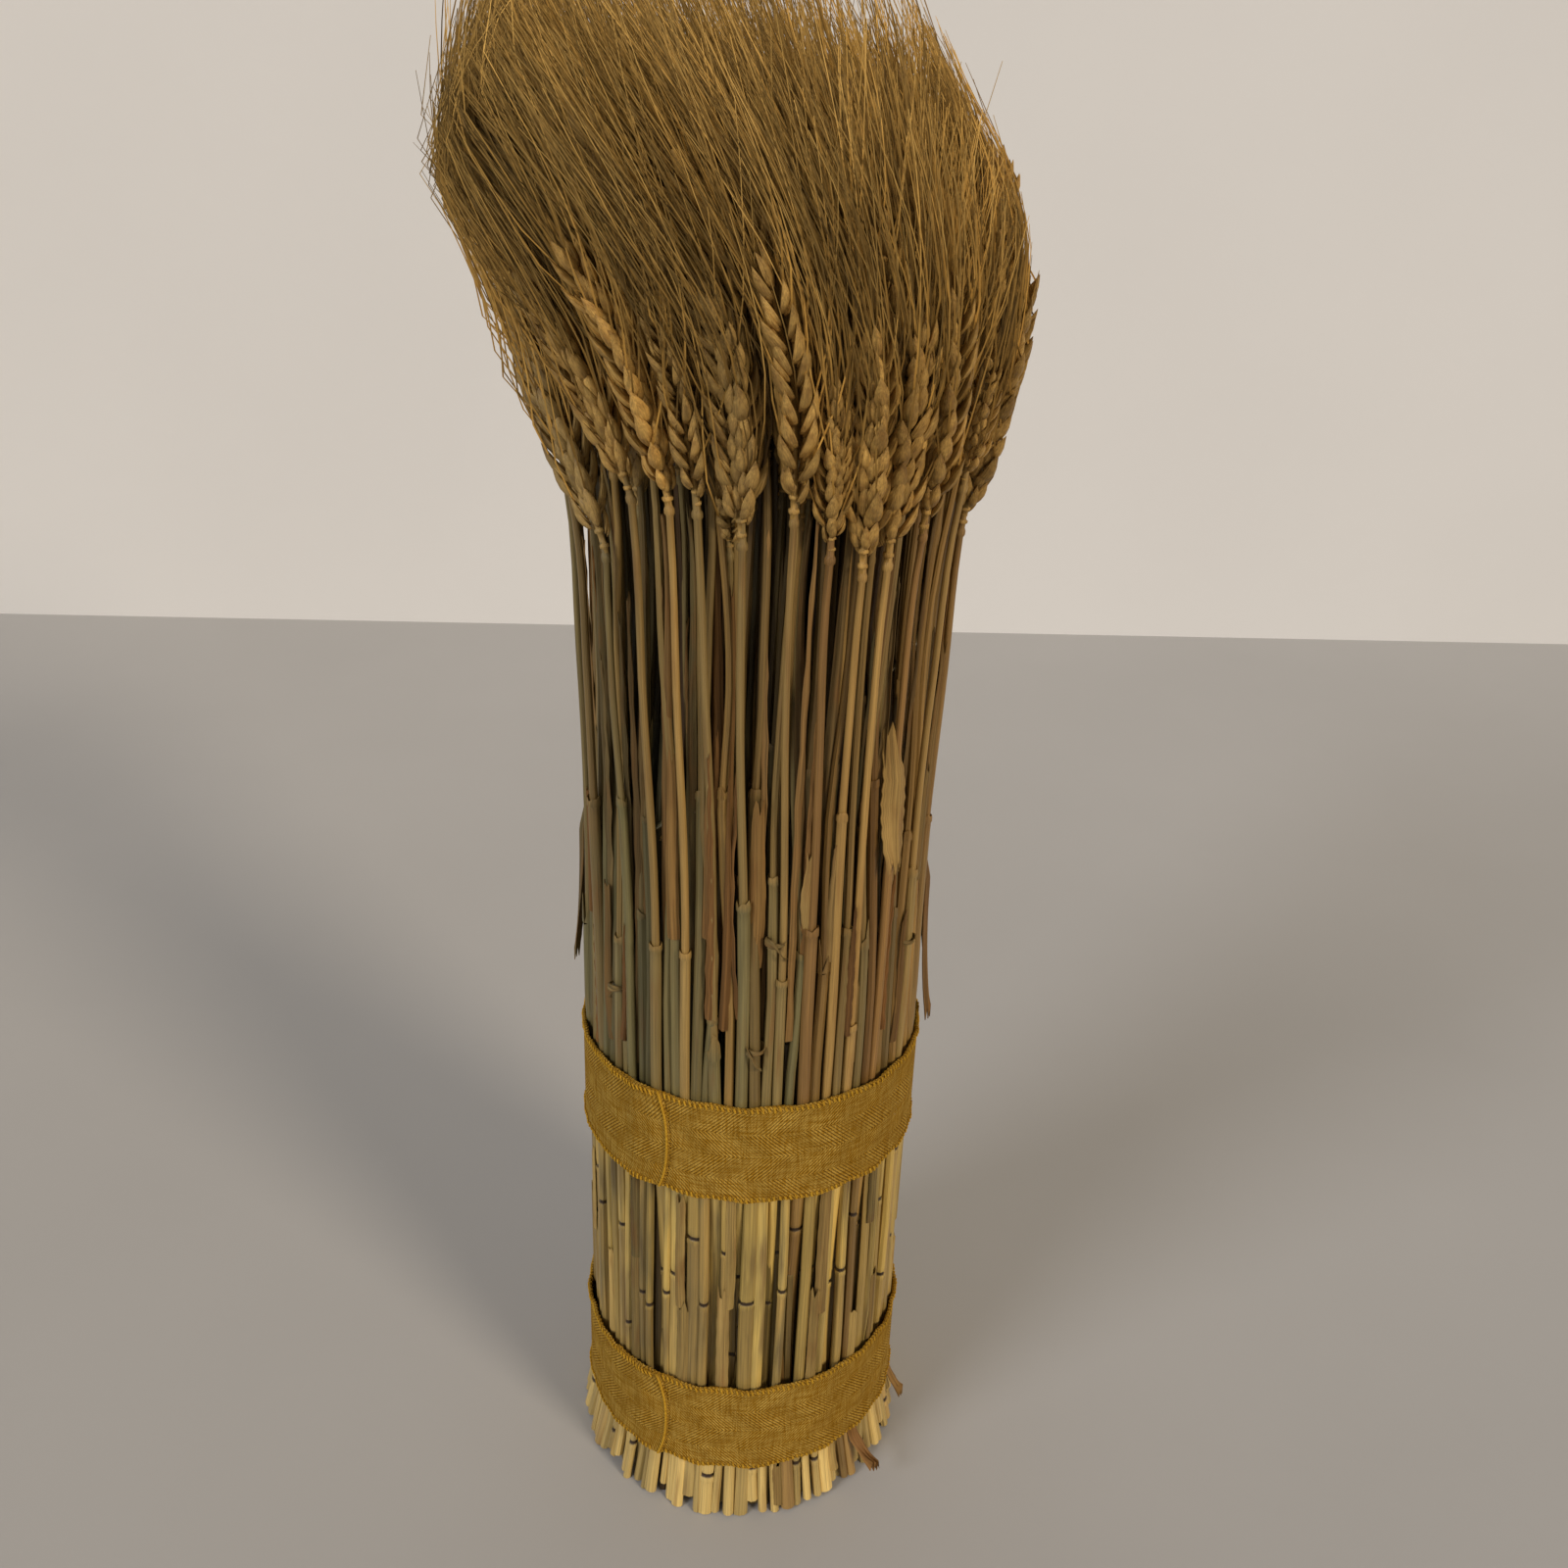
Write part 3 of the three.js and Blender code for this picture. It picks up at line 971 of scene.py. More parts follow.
@dataclass
class Ear:
    """An ear: spikelets in two ranks up a jointed stalk, each a fan of husks that end in awns."""

    grade: Grade
    husk: Husk
    spikelets: int
    length: float = 66.0
    rank_gap: float = 0.35
    joint: float = 4.0
    twist: float = 2.4
    lean_stray: Span = (-6.0, 8.0)
    fan_stray: Span = (-9.0, 9.0)
    size_stray: Span = (0.92, 1.08)
    tones: Span = (0.74, 1.26)
    awn_lengths: Span = (0.72, 1.1)

    def rachis(self) -> Shape:
        """Returns the jointed stalk inside the ear, with its pale collars under the lowest husks."""
        levels = [(-2.0, 1.0)]
        for z in (0.5, self.joint + 0.5):
            levels += [(z - 0.5, 1.0), (z - 0.2, 1.5), (z + 0.5, 1.5), (z + 0.9, 0.9)]
        levels += [(self.length * 0.5, 0.8), (self.length - 8, 0.45)]
        shape = turned(levels, 6)
        count = len(shape.points)
        shape.tags = {"rest": shape.points.copy(), "ring": np.zeros(count), "tone": np.ones(count)}
        return shape

    def model(self, rng: np.random.Generator) -> tuple[Shape, np.ndarray, np.ndarray, np.ndarray]:
        """Builds the ear upright on the origin.

        Args:
            rng: Where the husks' small differences come from.

        Returns:
            Its husks, and each awn's root, direction and share of the full length.
        """
        husk = self.husk.model()
        foot = self.joint * 0.7
        pitch = (self.length - foot - self.husk.length * 0.85) / self.spikelets
        parts, roots, ways, lengths = [self.rachis()], [], [], []
        for k in range(self.spikelets + 1):
            side = 1 if k % 2 else -1
            top = k == self.spikelets
            grown = smooth(k, -1.6, 2.6)
            taper = 1 - 0.24 * smooth(k, self.spikelets * 0.5, self.spikelets)
            for floret in FLORETS[self.grade]:
                size = floret.size * (0.45 + 0.55 * grown) * taper * rng.uniform(*self.size_stray)
                lean = 2 if top else floret.lean_out * (0.55 + 0.45 * grown)
                out = math.radians(lean + rng.uniform(*self.lean_stray))
                fan = math.radians(floret.fan * (0.6 + 0.4 * grown) + rng.uniform(*self.fan_stray))
                facing = 0.0 if side > 0 else math.pi
                turn = Matrix.Rotation(facing - math.pi / 2, 3, "Z") @ Matrix.Rotation(-out, 3, "X")
                turn = turn @ Matrix.Rotation(fan, 3, "Y")
                spin = np.array(turn @ Matrix.Rotation(math.radians(-floret.fan * self.twist), 3, "Z"))
                gap = 0.0 if top else (self.rank_gap + floret.off * taper) * side
                place = np.array([gap, 0, foot + pitch * k + floret.up * size])
                place += np.array(turn @ Vector((floret.aside * size, 0, 0)))
                points = (husk.points * size) @ spin.T + place
                tone = np.full(len(points), rng.uniform(*self.tones))
                rest = husk.tags["rest"] + rng.uniform(0, 300, 3)
                tags = {"rest": rest, "ring": husk.tags["ring"], "tone": tone}
                parts.append(Shape(points, husk.corners, husk.sizes, tags))
                if floret.awn:
                    roots.append(spin @ np.array([0, 0.1, self.husk.length * 0.9 * size]) + place)
                    ways.append(spin @ np.array([0, 0.0, 1.0]))
                    lengths.append(floret.awn * rng.uniform(*self.awn_lengths))
        return Shape.joined(parts), np.array(roots), np.array(ways), np.array(lengths)


def ear_frames(stalk: Stalk, height: np.ndarray) -> tuple[np.ndarray, np.ndarray, np.ndarray]:
    """Returns the three unit directions that an ear's points are laid along at each height.

    Args:
        stalk: The stalk whose ear it is.
        height: Heights on its path.

    Returns:
        Directions across, outwards and along.
    """
    along = stalk.path.heading(height)
    centre = stalk.path.at(height)
    outward = np.stack([centre[..., 0] - CROWN_X, centre[..., 1], 0 * height], axis=-1)
    across = np.cross(outward, along)
    across /= np.linalg.norm(across, axis=-1, keepdims=True)
    outward = np.cross(along, across)
    return *rotated(across, outward, -math.radians(stalk.ear_turn)), along


def laid_on(stalk: Stalk, points: np.ndarray, ear_length: float) -> np.ndarray:
    """Returns the real places of an ear's points, bent along the stalk's path."""
    share = points[:, 2] / ear_length
    rise = stalk.tip_z - stalk.neck_z
    height = stalk.neck_z + np.clip(share, -0.1, 1.3) * rise
    first, second, _ = ear_frames(stalk, height)
    girth = np.clip(rise / ear_length, 0.8, 1.05)
    return stalk.path.at(height) + girth * (points[:, :1] * first + points[:, 1:2] * second)


@dataclass
class Awns:
    """The long bristles of the ears, combed the way the crown runs."""

    root_radius: float = 0.28
    tip_radius: float = 0.085
    length: float = 84.0
    segments: int = 6
    sides: int = 3
    crown_top: float = 490.0
    top_limit: float = 509.0
    least_room: float = 40.0
    arch: float = 0.0044
    arch_centre: float = -19.0
    right_drop: float = 0.005
    back_rise: float = 0.06
    ragged: float = 10.0
    stiffness: float = 0.42
    stray: float = 0.075
    tuft: float = 0.09
    widest: float = 56.0
    rein: float = 0.09
    left_edge: float = -82.0
    right_edge: float = 66.0
    edge_z: float = 435.0
    left_turn: float = 0.62
    right_turn: float = 0.5
    side_rein: float = 0.07
    left_flare: float = 0.36
    flare_from: float = 42.0
    flare_over: float = 20.0
    most_over: float = 8.0
    most_left: float = 14.0
    most_right: float = 12.0
    curl: float = 0.07
    wild_share: float = 0.04
    wild_rise: float = 10.0
    drop_from: float = 10.0
    arch_stretch: float = 1.25

    def model(self) -> Shape:
        """Returns one bristle, upright on the origin, one unit long."""
        shares = np.linspace(0, 1, self.segments + 1)
        radii = self.root_radius + (self.tip_radius - self.root_radius) * shares
        return turned(list(zip(shares.tolist(), radii.tolist())), self.sides)

    def reach(self, roots: np.ndarray, lengths: np.ndarray, rng: np.random.Generator) -> np.ndarray:
        """Returns how long each bristle is, so that the crown keeps its arched top."""
        count = len(roots)
        top = self.crown_top - self.arch * (roots[:, 0] * self.arch_stretch - self.arch_centre) ** 2
        top = top + self.back_rise * np.maximum(0, roots[:, 1])
        top = top - self.right_drop * np.maximum(0, roots[:, 0] - self.drop_from) ** 2
        top = top + rng.normal(0, self.ragged, count)
        top = top + self.wild_rise * (rng.random(count) < self.wild_share)
        room = np.maximum(np.minimum(top, self.top_limit) - roots[:, 2], self.least_room)
        return np.minimum(self.length * lengths, room / np.maximum(FORM.flow(roots)[:, 2], 0.5))

    def grown(self, model: Shape, roots: np.ndarray, ways: np.ndarray, lengths: np.ndarray,
              tones: np.ndarray, rng: np.random.Generator) -> Shape:
        """Copies the bristle for each root of one ear and lets it run with the crown.

        Args:
            model: The bristle from model().
            roots: Where each starts.
            ways: The direction each starts in.
            lengths: How long each is, as a share.
            tones: How light each is.
            rng: Where they stray.

        Returns:
            All the ear's bristles.
        """
        count = len(roots)
        reach = self.reach(roots, lengths, rng)
        step = reach / self.segments
        together = rng.normal(0, self.tuft, 3) * (1, 1, 0)
        stray = together + rng.normal(0, self.stray, (count, 3)) * (1, 1, 0.2)
        curl = rng.normal(0, self.curl, (count, 3)) * (1, 1, 0)
        line = [roots]
        for k in range(self.segments):
            here = line[-1]
            ease = smooth((k + 0.5) / self.segments, -0.1, self.stiffness)
            way = (1 - ease) * ways + ease * FORM.flow(here) + stray * (0.4 + ease)
            way = way + curl * (k / self.segments) ** 2 * 2
            laid = FORM.laid(here)
            laid[:, 2] = 0
            away = np.linalg.norm(laid, axis=1, keepdims=True)
            over = np.clip(away - self.widest, 0, self.most_over)
            way = way - self.rein * over * laid / np.maximum(away, 1)
            x = here[:, 0]
            risen = np.maximum(0, here[:, 2] - self.edge_z)
            left = self.left_edge + self.left_turn * risen
            right = self.right_edge - self.right_turn * risen
            way[:, 0] += self.side_rein * np.clip(left - x, 0, self.most_left)
            way[:, 0] -= self.side_rein * np.clip(x - right, 0, self.most_right)
            flare = np.clip((-x - self.flare_from) / self.flare_over, 0, 1)
            way[:, 0] -= self.left_flare * flare * (1 - (k + 0.5) / self.segments)
            way /= np.linalg.norm(way, axis=1, keepdims=True)
            line.append(here + way * step[:, None])
        spine = np.stack(line, axis=1)
        level = np.rint(model.points[:, 2] * self.segments).astype(int)
        across = model.points.copy()
        across[:, 2] = 0
        points = spine[:, level] + across[None, :, :]
        along = model.points[:, 2][None, :] * reach[:, None]
        rest = np.stack([0 * along, 0 * along, along], axis=-1)
        rest = rest + rng.uniform(0, 60, (count, 1, 3)) * (1, 1, 0)
        return model.copies(points, rest=rest, tone=tones[:, None])


# ---------------------------------------------------------------- the bundle of stalks


@dataclass
class Kit:
    """What the stalks of one grade are copied from: a stem, a few ears and a bristle."""

    culm: Culm
    ear: Ear
    awns: Awns
    stem: Shape
    ears: list[tuple[Shape, np.ndarray, np.ndarray, np.ndarray]]
    bristle: Shape

    @classmethod
    def all_grades(cls, rng: np.random.Generator, ears: int = 3) -> dict[Grade, "Kit"]:
        """Args:
            rng: Where the ears' small differences come from.
            ears: How many ears a kit holds.

        Returns:
            The kits.
        """
        plans = {
            Grade.FRONT: (Culm(sides=10, spacing=13), Ear(Grade.FRONT, Husk(), 18), Awns()),
            Grade.GLIMPSED: (Culm(sides=8, spacing=16), Ear(Grade.GLIMPSED, Husk(around=6, along=5), 14),
                             Awns(segments=5)),
            Grade.BURIED: (Culm(sides=6, spacing=40),
                           Ear(Grade.BURIED, Husk(width=6.4, depth=4.6, around=5, along=4), 11),
                           Awns(segments=4)),
        }
        return {
            grade: cls(culm, ear, awns, culm.model(), [ear.model(rng) for _ in range(ears)], awns.model())
            for grade, (culm, ear, awns) in plans.items()
        }

    def grown(self, stalks: Sequence[Stalk], rng: np.random.Generator) -> Shape:
        """Returns the stems of the stalks."""
        return self.culm.grown(self.stem, stalks, rng)


@dataclass
class Sheaf:
    """All the stalks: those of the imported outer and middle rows, and those between and inside them."""

    nodes: Sequence[str]
    pitch: float = 3.9
    outer_radius: float = 54.9
    middle_radii: tuple[float, ...] = (51.2, 47.3, 43.6)
    core_radius: float = 41.0
    core_pitch: float = 5.0
    middle_pitch: float = 4.15
    lock_spacing: float = 29.0
    outer_tops: Span = (44.0, 51.0)
    outer_necks: Span = (384.0, 414.0)
    outer_ears: Span = (52.0, 62.0)
    middle_tops: Span = (0.72, 0.92)
    middle_necks: Span = (364.0, 412.0)
    core_necks: Span = (372.0, 420.0)
    inner_ears: Span = (52.0, 64.0)
    hair_tones: Span = (0.5, 1.3)
    hair_contrast: Span = (0.4, 1.6)
    second_row: tuple[tuple[float, float, float, float, float], ...] = (
        (-64, -50, 50.0, 381, 432),
        (-14, -12, 49.5, 364, 396),
        (43, 34, 49.0, 361, 386),
    )
    neck_ring: int = 6
    tip_ring: int = 10
    rng: np.random.Generator = field(default_factory=lambda: np.random.default_rng(SEED))
    kits: dict[Grade, Kit] = field(default_factory=dict)

    def named(self, prefix: str) -> list[str]:
        """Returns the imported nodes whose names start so, in order."""
        return sorted(name for name in self.nodes if name.startswith(prefix))

    def azimuth(self, stalk: Stalk) -> float:
        """Returns where a stalk stands."""
        return bearing(stalk.path.x[1], stalk.path.y[1])

    def green_and_painted_side_light(self, azimuth: float) -> float:
        """Returns how green-grey a stalk is: random, plus a painted cool-light tint that is stronger on the
        left of the front than on the right.
        """
        lean = 0.50 - 0.38 * math.sin(math.radians(azimuth))
        return float(np.clip(lean + self.rng.normal(0, 0.28), 0, 1))

    def stalk(self, path: Path, neck_z: float, tip_z: float, grade: Grade) -> Stalk:
        """Gives a stalk its own differences.

        Args:
            path: Where it runs.
            neck_z: The height of its neck.
            tip_z: The height of its ear's tip.
            grade: How finely it is modelled.

        Returns:
            The stalk.
        """
        rng = self.rng
        return Stalk(
            path=path,
            neck_z=neck_z,
            tip_z=tip_z,
            grade=grade,
            girth=rng.uniform(0.78, 1.1),
            green=self.green_and_painted_side_light(bearing(path.x[1], path.y[1])),
            tone=rng.uniform(*TONES_AND_DEPTH_SHADE[grade]),
            node_z=rng.uniform(68, 140) if rng.random() < 0.8 else rng.uniform(8, 20),
            sheath_z=rng.uniform(196, 312),
            turn=rng.uniform(0, 360),
            ear_turn=self.ear_turn(grade),
            ear_tone=rng.uniform(0.82, 1.12),
            flat=rng.uniform(0.15, 0.5) if rng.random() < 0.4 else 0.0,
            dull=rng.uniform(0, 1) ** 2,
            brown=rng.uniform(0.35, 0.9) if rng.random() < 0.1 else 0.0,
            tear=rng.uniform(5, 13) if rng.random() < 0.22 else rng.uniform(0.4, 2.2),
        )

    def ear_turn(self, grade: Grade) -> float:
        """Returns how far an ear is turned on its stalk: face or edge outwards where it is in sight."""
        rng = self.rng
        turn = rng.choice([0.0, 90.0]) if grade is Grade.FRONT else 90.0 * rng.random()
        return turn + rng.normal(0, 14)

    def packed(self, node: str, grade: Grade) -> Stalk:
        """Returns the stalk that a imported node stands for."""
        path = Path.of_node(node)
        return self.stalk(path, path.z[self.neck_ring], path.z[self.tip_ring], grade)

    def laid_out(self, azimuth: float, radius: float, top_azimuth: float, top_radius: float,
                 neck_z: float, ear_length: float, grade: Grade) -> Stalk:
        """Lays out a stalk that has no node of its own.

        Args:
            azimuth: Where it stands.
            radius: How far from the middle it stands.
            top_azimuth: Where its ear is.
            top_radius: How far from the middle its ear is, before the crown spreads it.
            neck_z: The height of its neck.
            ear_length: The length of its ear.
            grade: How finely it is modelled.

        Returns:
            The stalk.
        """
        rng = self.rng
        foot = rng.uniform(0, 1.2) if rng.random() < 0.6 else rng.uniform(1.2, 6.5)
        ear = neck_z + np.array([0, 0.5 * ear_length, ear_length, ear_length + 30])
        z = np.array([foot, 20, 62, 142, 182, 230, 280, 325, *ear])
        share = smooth(z, 185, neck_z)
        loose = np.interp(z, [142, 230, 325, neck_z], [0, 0.7, 1.3, 0.5]) * (z < neck_z + 1)
        loose = loose + 0.5 * (z < 1.5 + foot)
        sway = rng.normal(0, 1, len(z)) * loose
        bow = rng.normal(0, 0.6, len(z)) * loose
        around = azimuth + (top_azimuth - azimuth) * share + sway
        x, y = polar(around, radius + (top_radius - radius) * share + bow)
        points = FORM.lean(np.stack([x, y, z], axis=-1))
        return self.stalk(Path.through(points), neck_z, neck_z + ear_length, grade)

    def between(self, first: Stalk, second: Stalk) -> list[Stalk]:
        """Fills the outer row between two packed stalks.

        Args:
            first: A packed stalk.
            second: The next one towards +X.

        Returns:
            The stalks between them.
        """
        rng = self.rng
        ends = []
        for stalk in (first, second):
            x, y, z = stalk.path.at(np.array([100.0, stalk.neck_z])).T
            ends.append([bearing(*place) for place in zip(x - FORM.axis_lean * z, y)])
        (foot_a, neck_a), (foot_b, neck_b) = ends
        foot_b += 360 if foot_b < foot_a else 0
        neck_b += 360 if neck_b < neck_a else 0
        count = max(1, round((foot_b - foot_a) / self.pitch) - 1)
        found = []
        for k in range(1, count + 1):
            share = k / (count + 1)
            found.append(self.laid_out(
                azimuth=foot_a + (foot_b - foot_a) * share + rng.normal(0, 0.25),
                radius=self.outer_radius - rng.uniform(0, 0.9),
                top_azimuth=neck_a + (neck_b - neck_a) * share + rng.normal(0, 2.0),
                top_radius=rng.uniform(*self.outer_tops),
                neck_z=rng.uniform(*self.outer_necks),
                ear_length=rng.uniform(*self.outer_ears),
                grade=Grade.GLIMPSED,
            ))
        return found

    def groups(self) -> dict[str, list[Stalk]]:
        """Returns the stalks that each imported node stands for."""
        outer = {node: [self.packed(node, Grade.FRONT)] for node in self.named("outer_stalk")}
        names = list(outer)
        for here, after in zip(names, names[1:] + names[:1]):
            outer[here] += self.between(outer[here][0], outer[after][0])
        middle = {node: [self.packed(node, Grade.FRONT)] for node in self.named("middle_stalk")}
        for azimuth, top_azimuth, radius, neck_z, tip_z in self.second_row:
            near = min(middle.values(), key=lambda held: abs(self.azimuth(held[0]) - azimuth))
            near.append(self.laid_out(azimuth, self.middle_radii[0], top_azimuth, radius, neck_z,
                                      tip_z - neck_z, Grade.FRONT))
        self.fill_middle(middle)
        core = {node: [] for node in self.named("core_stalks")}
        self.fill_core(core)
        return {**outer, **middle, **core}

    def fill_middle(self, middle: dict[str, list[Stalk]]) -> None:
        """Adds the rings of stalks behind the outer row to the nearest middle nodes."""
        rng = self.rng
        names = list(middle)
        feet = np.array([[s[0].path.x[1], s[0].path.y[1]] for s in middle.values()])
        for radius in self.middle_radii:
            count = round(2 * math.pi * radius / self.middle_pitch)
            for k in range(count):
                azimuth = 360 * k / count + rng.normal(0, 0.5)
                stalk = self.laid_out(azimuth, radius - rng.uniform(0, 0.6), azimuth + rng.normal(0, 3),
                                      radius * rng.uniform(*self.middle_tops),
                                      rng.uniform(*self.middle_necks), rng.uniform(*self.inner_ears),
                                      Grade.BURIED)
                away = np.hypot(*(feet - [stalk.path.x[1], stalk.path.y[1]]).T)
                middle[names[int(away.argmin())]].append(stalk)

    def fill_core(self, core: dict[str, list[Stalk]]) -> None:
        """Adds the stalks inside the bundle to the nearest core nodes."""
        rng = self.rng
        names = list(core)
        turns = np.radians(np.arange(6) * 60.0)
        locks = np.array([[0, 0], *np.stack([np.cos(turns), np.sin(turns)], axis=1) * self.lock_spacing])
        rows = int(self.core_radius / self.core_pitch) + 2
        for row in range(-rows, rows + 1):
            for column in range(-rows, rows + 1):
                x = (column + 0.5 * (row % 2)) * self.core_pitch + rng.normal(0, 0.35)
                y = row * self.core_pitch * math.sqrt(0.75) + rng.normal(0, 0.35)
                radius = math.hypot(x, y)
                if radius > self.core_radius:
                    continue
                azimuth = bearing(x, y)
                stalk = self.laid_out(azimuth, radius, azimuth, radius * 0.97 + rng.normal(0, 0.8),
                                      rng.uniform(*self.core_necks), rng.uniform(*self.inner_ears),
                                      Grade.BURIED)
                away = np.hypot(*(locks - [x, y]).T)
                core[names[int(away.argmin())]].append(stalk)

    def heads(self, stalks: Sequence[Stalk], grade: Grade) -> tuple[list[Shape], list[Shape]]:
        """Sets an ear with its awns on each stalk of one grade.

        Args:
            stalks: The stalks.
            grade: How finely they are modelled.

        Returns:
            The ears' husks and the awns, one mesh of each for a stalk.
        """
        rng = self.rng
        kit = self.kits[grade]
        length = kit.ear.length
        husks, hairs = [], []
        for stalk in stalks:
            shape, roots, ways, lengths = kit.ears[rng.integers(len(kit.ears))]
            placed = laid_on(stalk, shape.points, length)
            # Ears greyer with their stalk's green, which holds the painted cool-light tint on the left.
            grey = 0.7 * max(0.0, stalk.green - 0.35) * np.ones(len(placed))
            tags = {**shape.tags, "tone": shape.tags["tone"] * stalk.ear_tone, "green": grey}
            husks.append(Shape(placed, shape.corners, shape.sizes, tags))
            if grade is Grade.BURIED:
                roots, ways, lengths = (np.repeat(a, 2, axis=0) for a in (roots, ways, lengths))
                lengths = lengths * rng.uniform(0.8, 1.1, len(lengths))
            start = laid_on(stalk, roots - ways * 1.2, length)
            frames = ear_frames(stalk, np.clip(start[:, 2], stalk.neck_z, stalk.tip_z + 10))
            headings = sum(ways[:, i:i + 1] * frames[i] for i in range(3))
            tones = rng.uniform(*self.hair_tones) * rng.uniform(*self.hair_contrast, len(start))
            hairs.append(kit.awns.grown(kit.bristle, start, headings, lengths, tones, rng))
        return husks, hairs

    def build(self, straw: bpy.types.Material, husk: bpy.types.Material,
              awn: bpy.types.Material) -> list[str]:
        """Makes the stems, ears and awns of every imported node.

        Args:
            straw: The stems' material.
            husk: The ears' material.
            awn: The awns' material.

        Returns:
            The names of the outer row's stems, which the ribbons press on.
        """
        self.kits = Kit.all_grades(self.rng)
        pressed = []
        for node, stalks in self.groups().items():
            sorts = {grade: [s for s in stalks if s.grade is grade] for grade in Grade}
            sorts = {grade: kept for grade, kept in sorts.items() if kept}
            stems = [self.kits[grade].grown(kept, self.rng) for grade, kept in sorts.items()]
            lock = node.startswith("core")
            name = f"{node}_stems" if lock else node.replace("stalk", "stem")
            Shape.joined(stems).piece(name, straw, "straw", [node])
            if node.startswith("outer"):
                pressed.append(name)
            husks, hairs = [], []
            for grade, kept in sorts.items():
                more_husks, more_hairs = self.heads(kept, grade)
                husks += more_husks
                hairs += more_hairs
            growth = "stalks" if lock else "stalk"
            Shape.joined(husks).piece(node.replace(growth, "ears"), husk, "ear", [node], crease=60)
            Shape.joined(hairs).piece(node.replace(growth, "awns"), awn, "awn", [node], crease=80)
        return pressed


# ---------------------------------------------------------------- ribbons and leaves


@dataclass
class Ribbon:
    """A woven ribbon round the bundle: its edges overlocked, its loose end over its other end."""

    name: str
    foot_z: float
    phase: float
    width: float = 38.0
    radius: float = 57.62
    thickness: float = 0.55
    lift: float = 0.75
    loose_end: float = -26.0
    overlap: float = 24.0
    ramp: float = 5.0
    rounded: float = 3.6
    stitch_pitch: float = 1.8
    stitch_reach: float = 1.8
    stitch_radius: float = 0.4
    hem_radius: float = 0.45
    hem_inset: float = 0.9
    trim_reach: float = 30.0
    columns: int = 420
    rows: int = 12

    @property
    def length(self) -> float:
        """The length that the ribbon was cut to."""
        return math.radians(360 + self.overlap) * self.radius

    @property
    def stitch_length(self) -> float:
        """How long a loop of the overlocking thread is before it is bent."""
        return self.stitch_reach * 2 + 1.2

    def wrapped(self, along: np.ndarray, up: np.ndarray, out: np.ndarray) -> np.ndarray:
        """Returns the real places of points of the flat ribbon.

        Args:
            along: How far along the ribbon, from its buried end.
            up: How far across it, from its lower edge.
            out: How far outside its middle surface.

        Returns:
            The places round the bundle.
        """
        turned_by = np.degrees(along / self.radius)
        azimuth = self.loose_end - self.overlap + turned_by
        over = smooth(turned_by, 360 - self.ramp, 360)
        edge = np.abs(up / self.width - 0.5) * 2
        frill = smooth(edge, 0.8, 1.0)
        wave = np.sin(along / 2.6 + self.phase) + 0.7 * np.sin(along / 4.3 + 2 * self.phase)
        angle = np.radians(azimuth)
        bumps = 0.12 * np.sin(angle * 46 + self.phase) + 0.12 * np.sin(angle * 17)
        radius = self.radius + out + self.lift * over + bumps + 0.2 * frill * (1 + wave)
        sag = 0.5 * np.sin(angle * 2 + self.phase)
        sway = 0.35 * frill * np.sin(along / 3.4 + self.phase + (up > self.width / 2))
        x, y = polar(azimuth, radius)
        z = self.foot_z + up + sag + sway
        return FORM.lean(np.stack([x, y, z], axis=-1))

    def end_of(self, up: np.ndarray) -> np.ndarray:
        """Returns how far short of the full length the rounded loose end stops at a height."""
        return self.rounded * np.abs(up / self.width - 0.48) ** 2.2 * 4

    def trimmed(self, along: np.ndarray, up: np.ndarray) -> np.ndarray:
        """Returns places along the ribbon drawn back so that its loose end is rounded."""
        return along - smooth(along, self.length - self.trim_reach, self.length) * self.end_of(up)

    def cloth(self) -> Shape:
        """Returns the cloth itself."""
        flat = strip(self.length, self.width, self.columns, self.rows, self.thickness)
        across, out, along = flat.points.T
        up = across + self.width / 2
        flat.tags["rest"] = np.stack([along, up, out], axis=1)
        flat.points = self.wrapped(self.trimmed(along, up), up, out)
        return flat

    def stitching(self, rng: np.random.Generator) -> Shape:
        """Returns the overlocking: short rods bent round both edges."""
        rod = turned([(z, self.stitch_radius) for z in np.linspace(0, self.stitch_length, 6)], 5)
        x, y, z = rod.points.T
        share = z / self.stitch_length * 2 - 1
        inward = np.interp(np.abs(share), [0, 0.25, 1], [0, 0.35, self.stitch_reach + 0.2])
        outer = np.interp(share, [-1, -0.25, 0.25, 1], [-1, -1, 1, 1]) * (self.thickness / 2 + 0.18)
        starts = np.arange(self.stitch_pitch, self.length - 3.0, self.stitch_pitch)
        made, rests = [], []
        for top in (False, True):
            for start in starts:
                reach_in = rng.uniform(0.85, 1.12)
                along = start + x + 0.55 * share * (1 if top else -1) + rng.normal(0, 0.08)
                up = -0.15 + inward * reach_in + y * 0.3
                up = self.width - up if top else up
                out = outer + y * np.sign(outer + TINY)
                made.append(self.wrapped(self.trimmed(along, up), up, out))
                rests.append(rod.points + rng.uniform(0, 200, 3))
        return rod.copies(np.array(made), rest=np.array(rests))

    def hem(self) -> Shape:
        """Returns the rolled hem down the loose end."""
        rod = turned([(z, self.hem_radius) for z in np.linspace(0, self.width, 25)], 8)
        x, y, z = rod.points.T
        along = self.length - self.end_of(z) - self.hem_inset + x
        rod.tags = {"rest": np.stack([x, y, z], axis=1)}
        rod.points = self.wrapped(along, z, y + self.thickness / 2 + 0.15)
        return rod

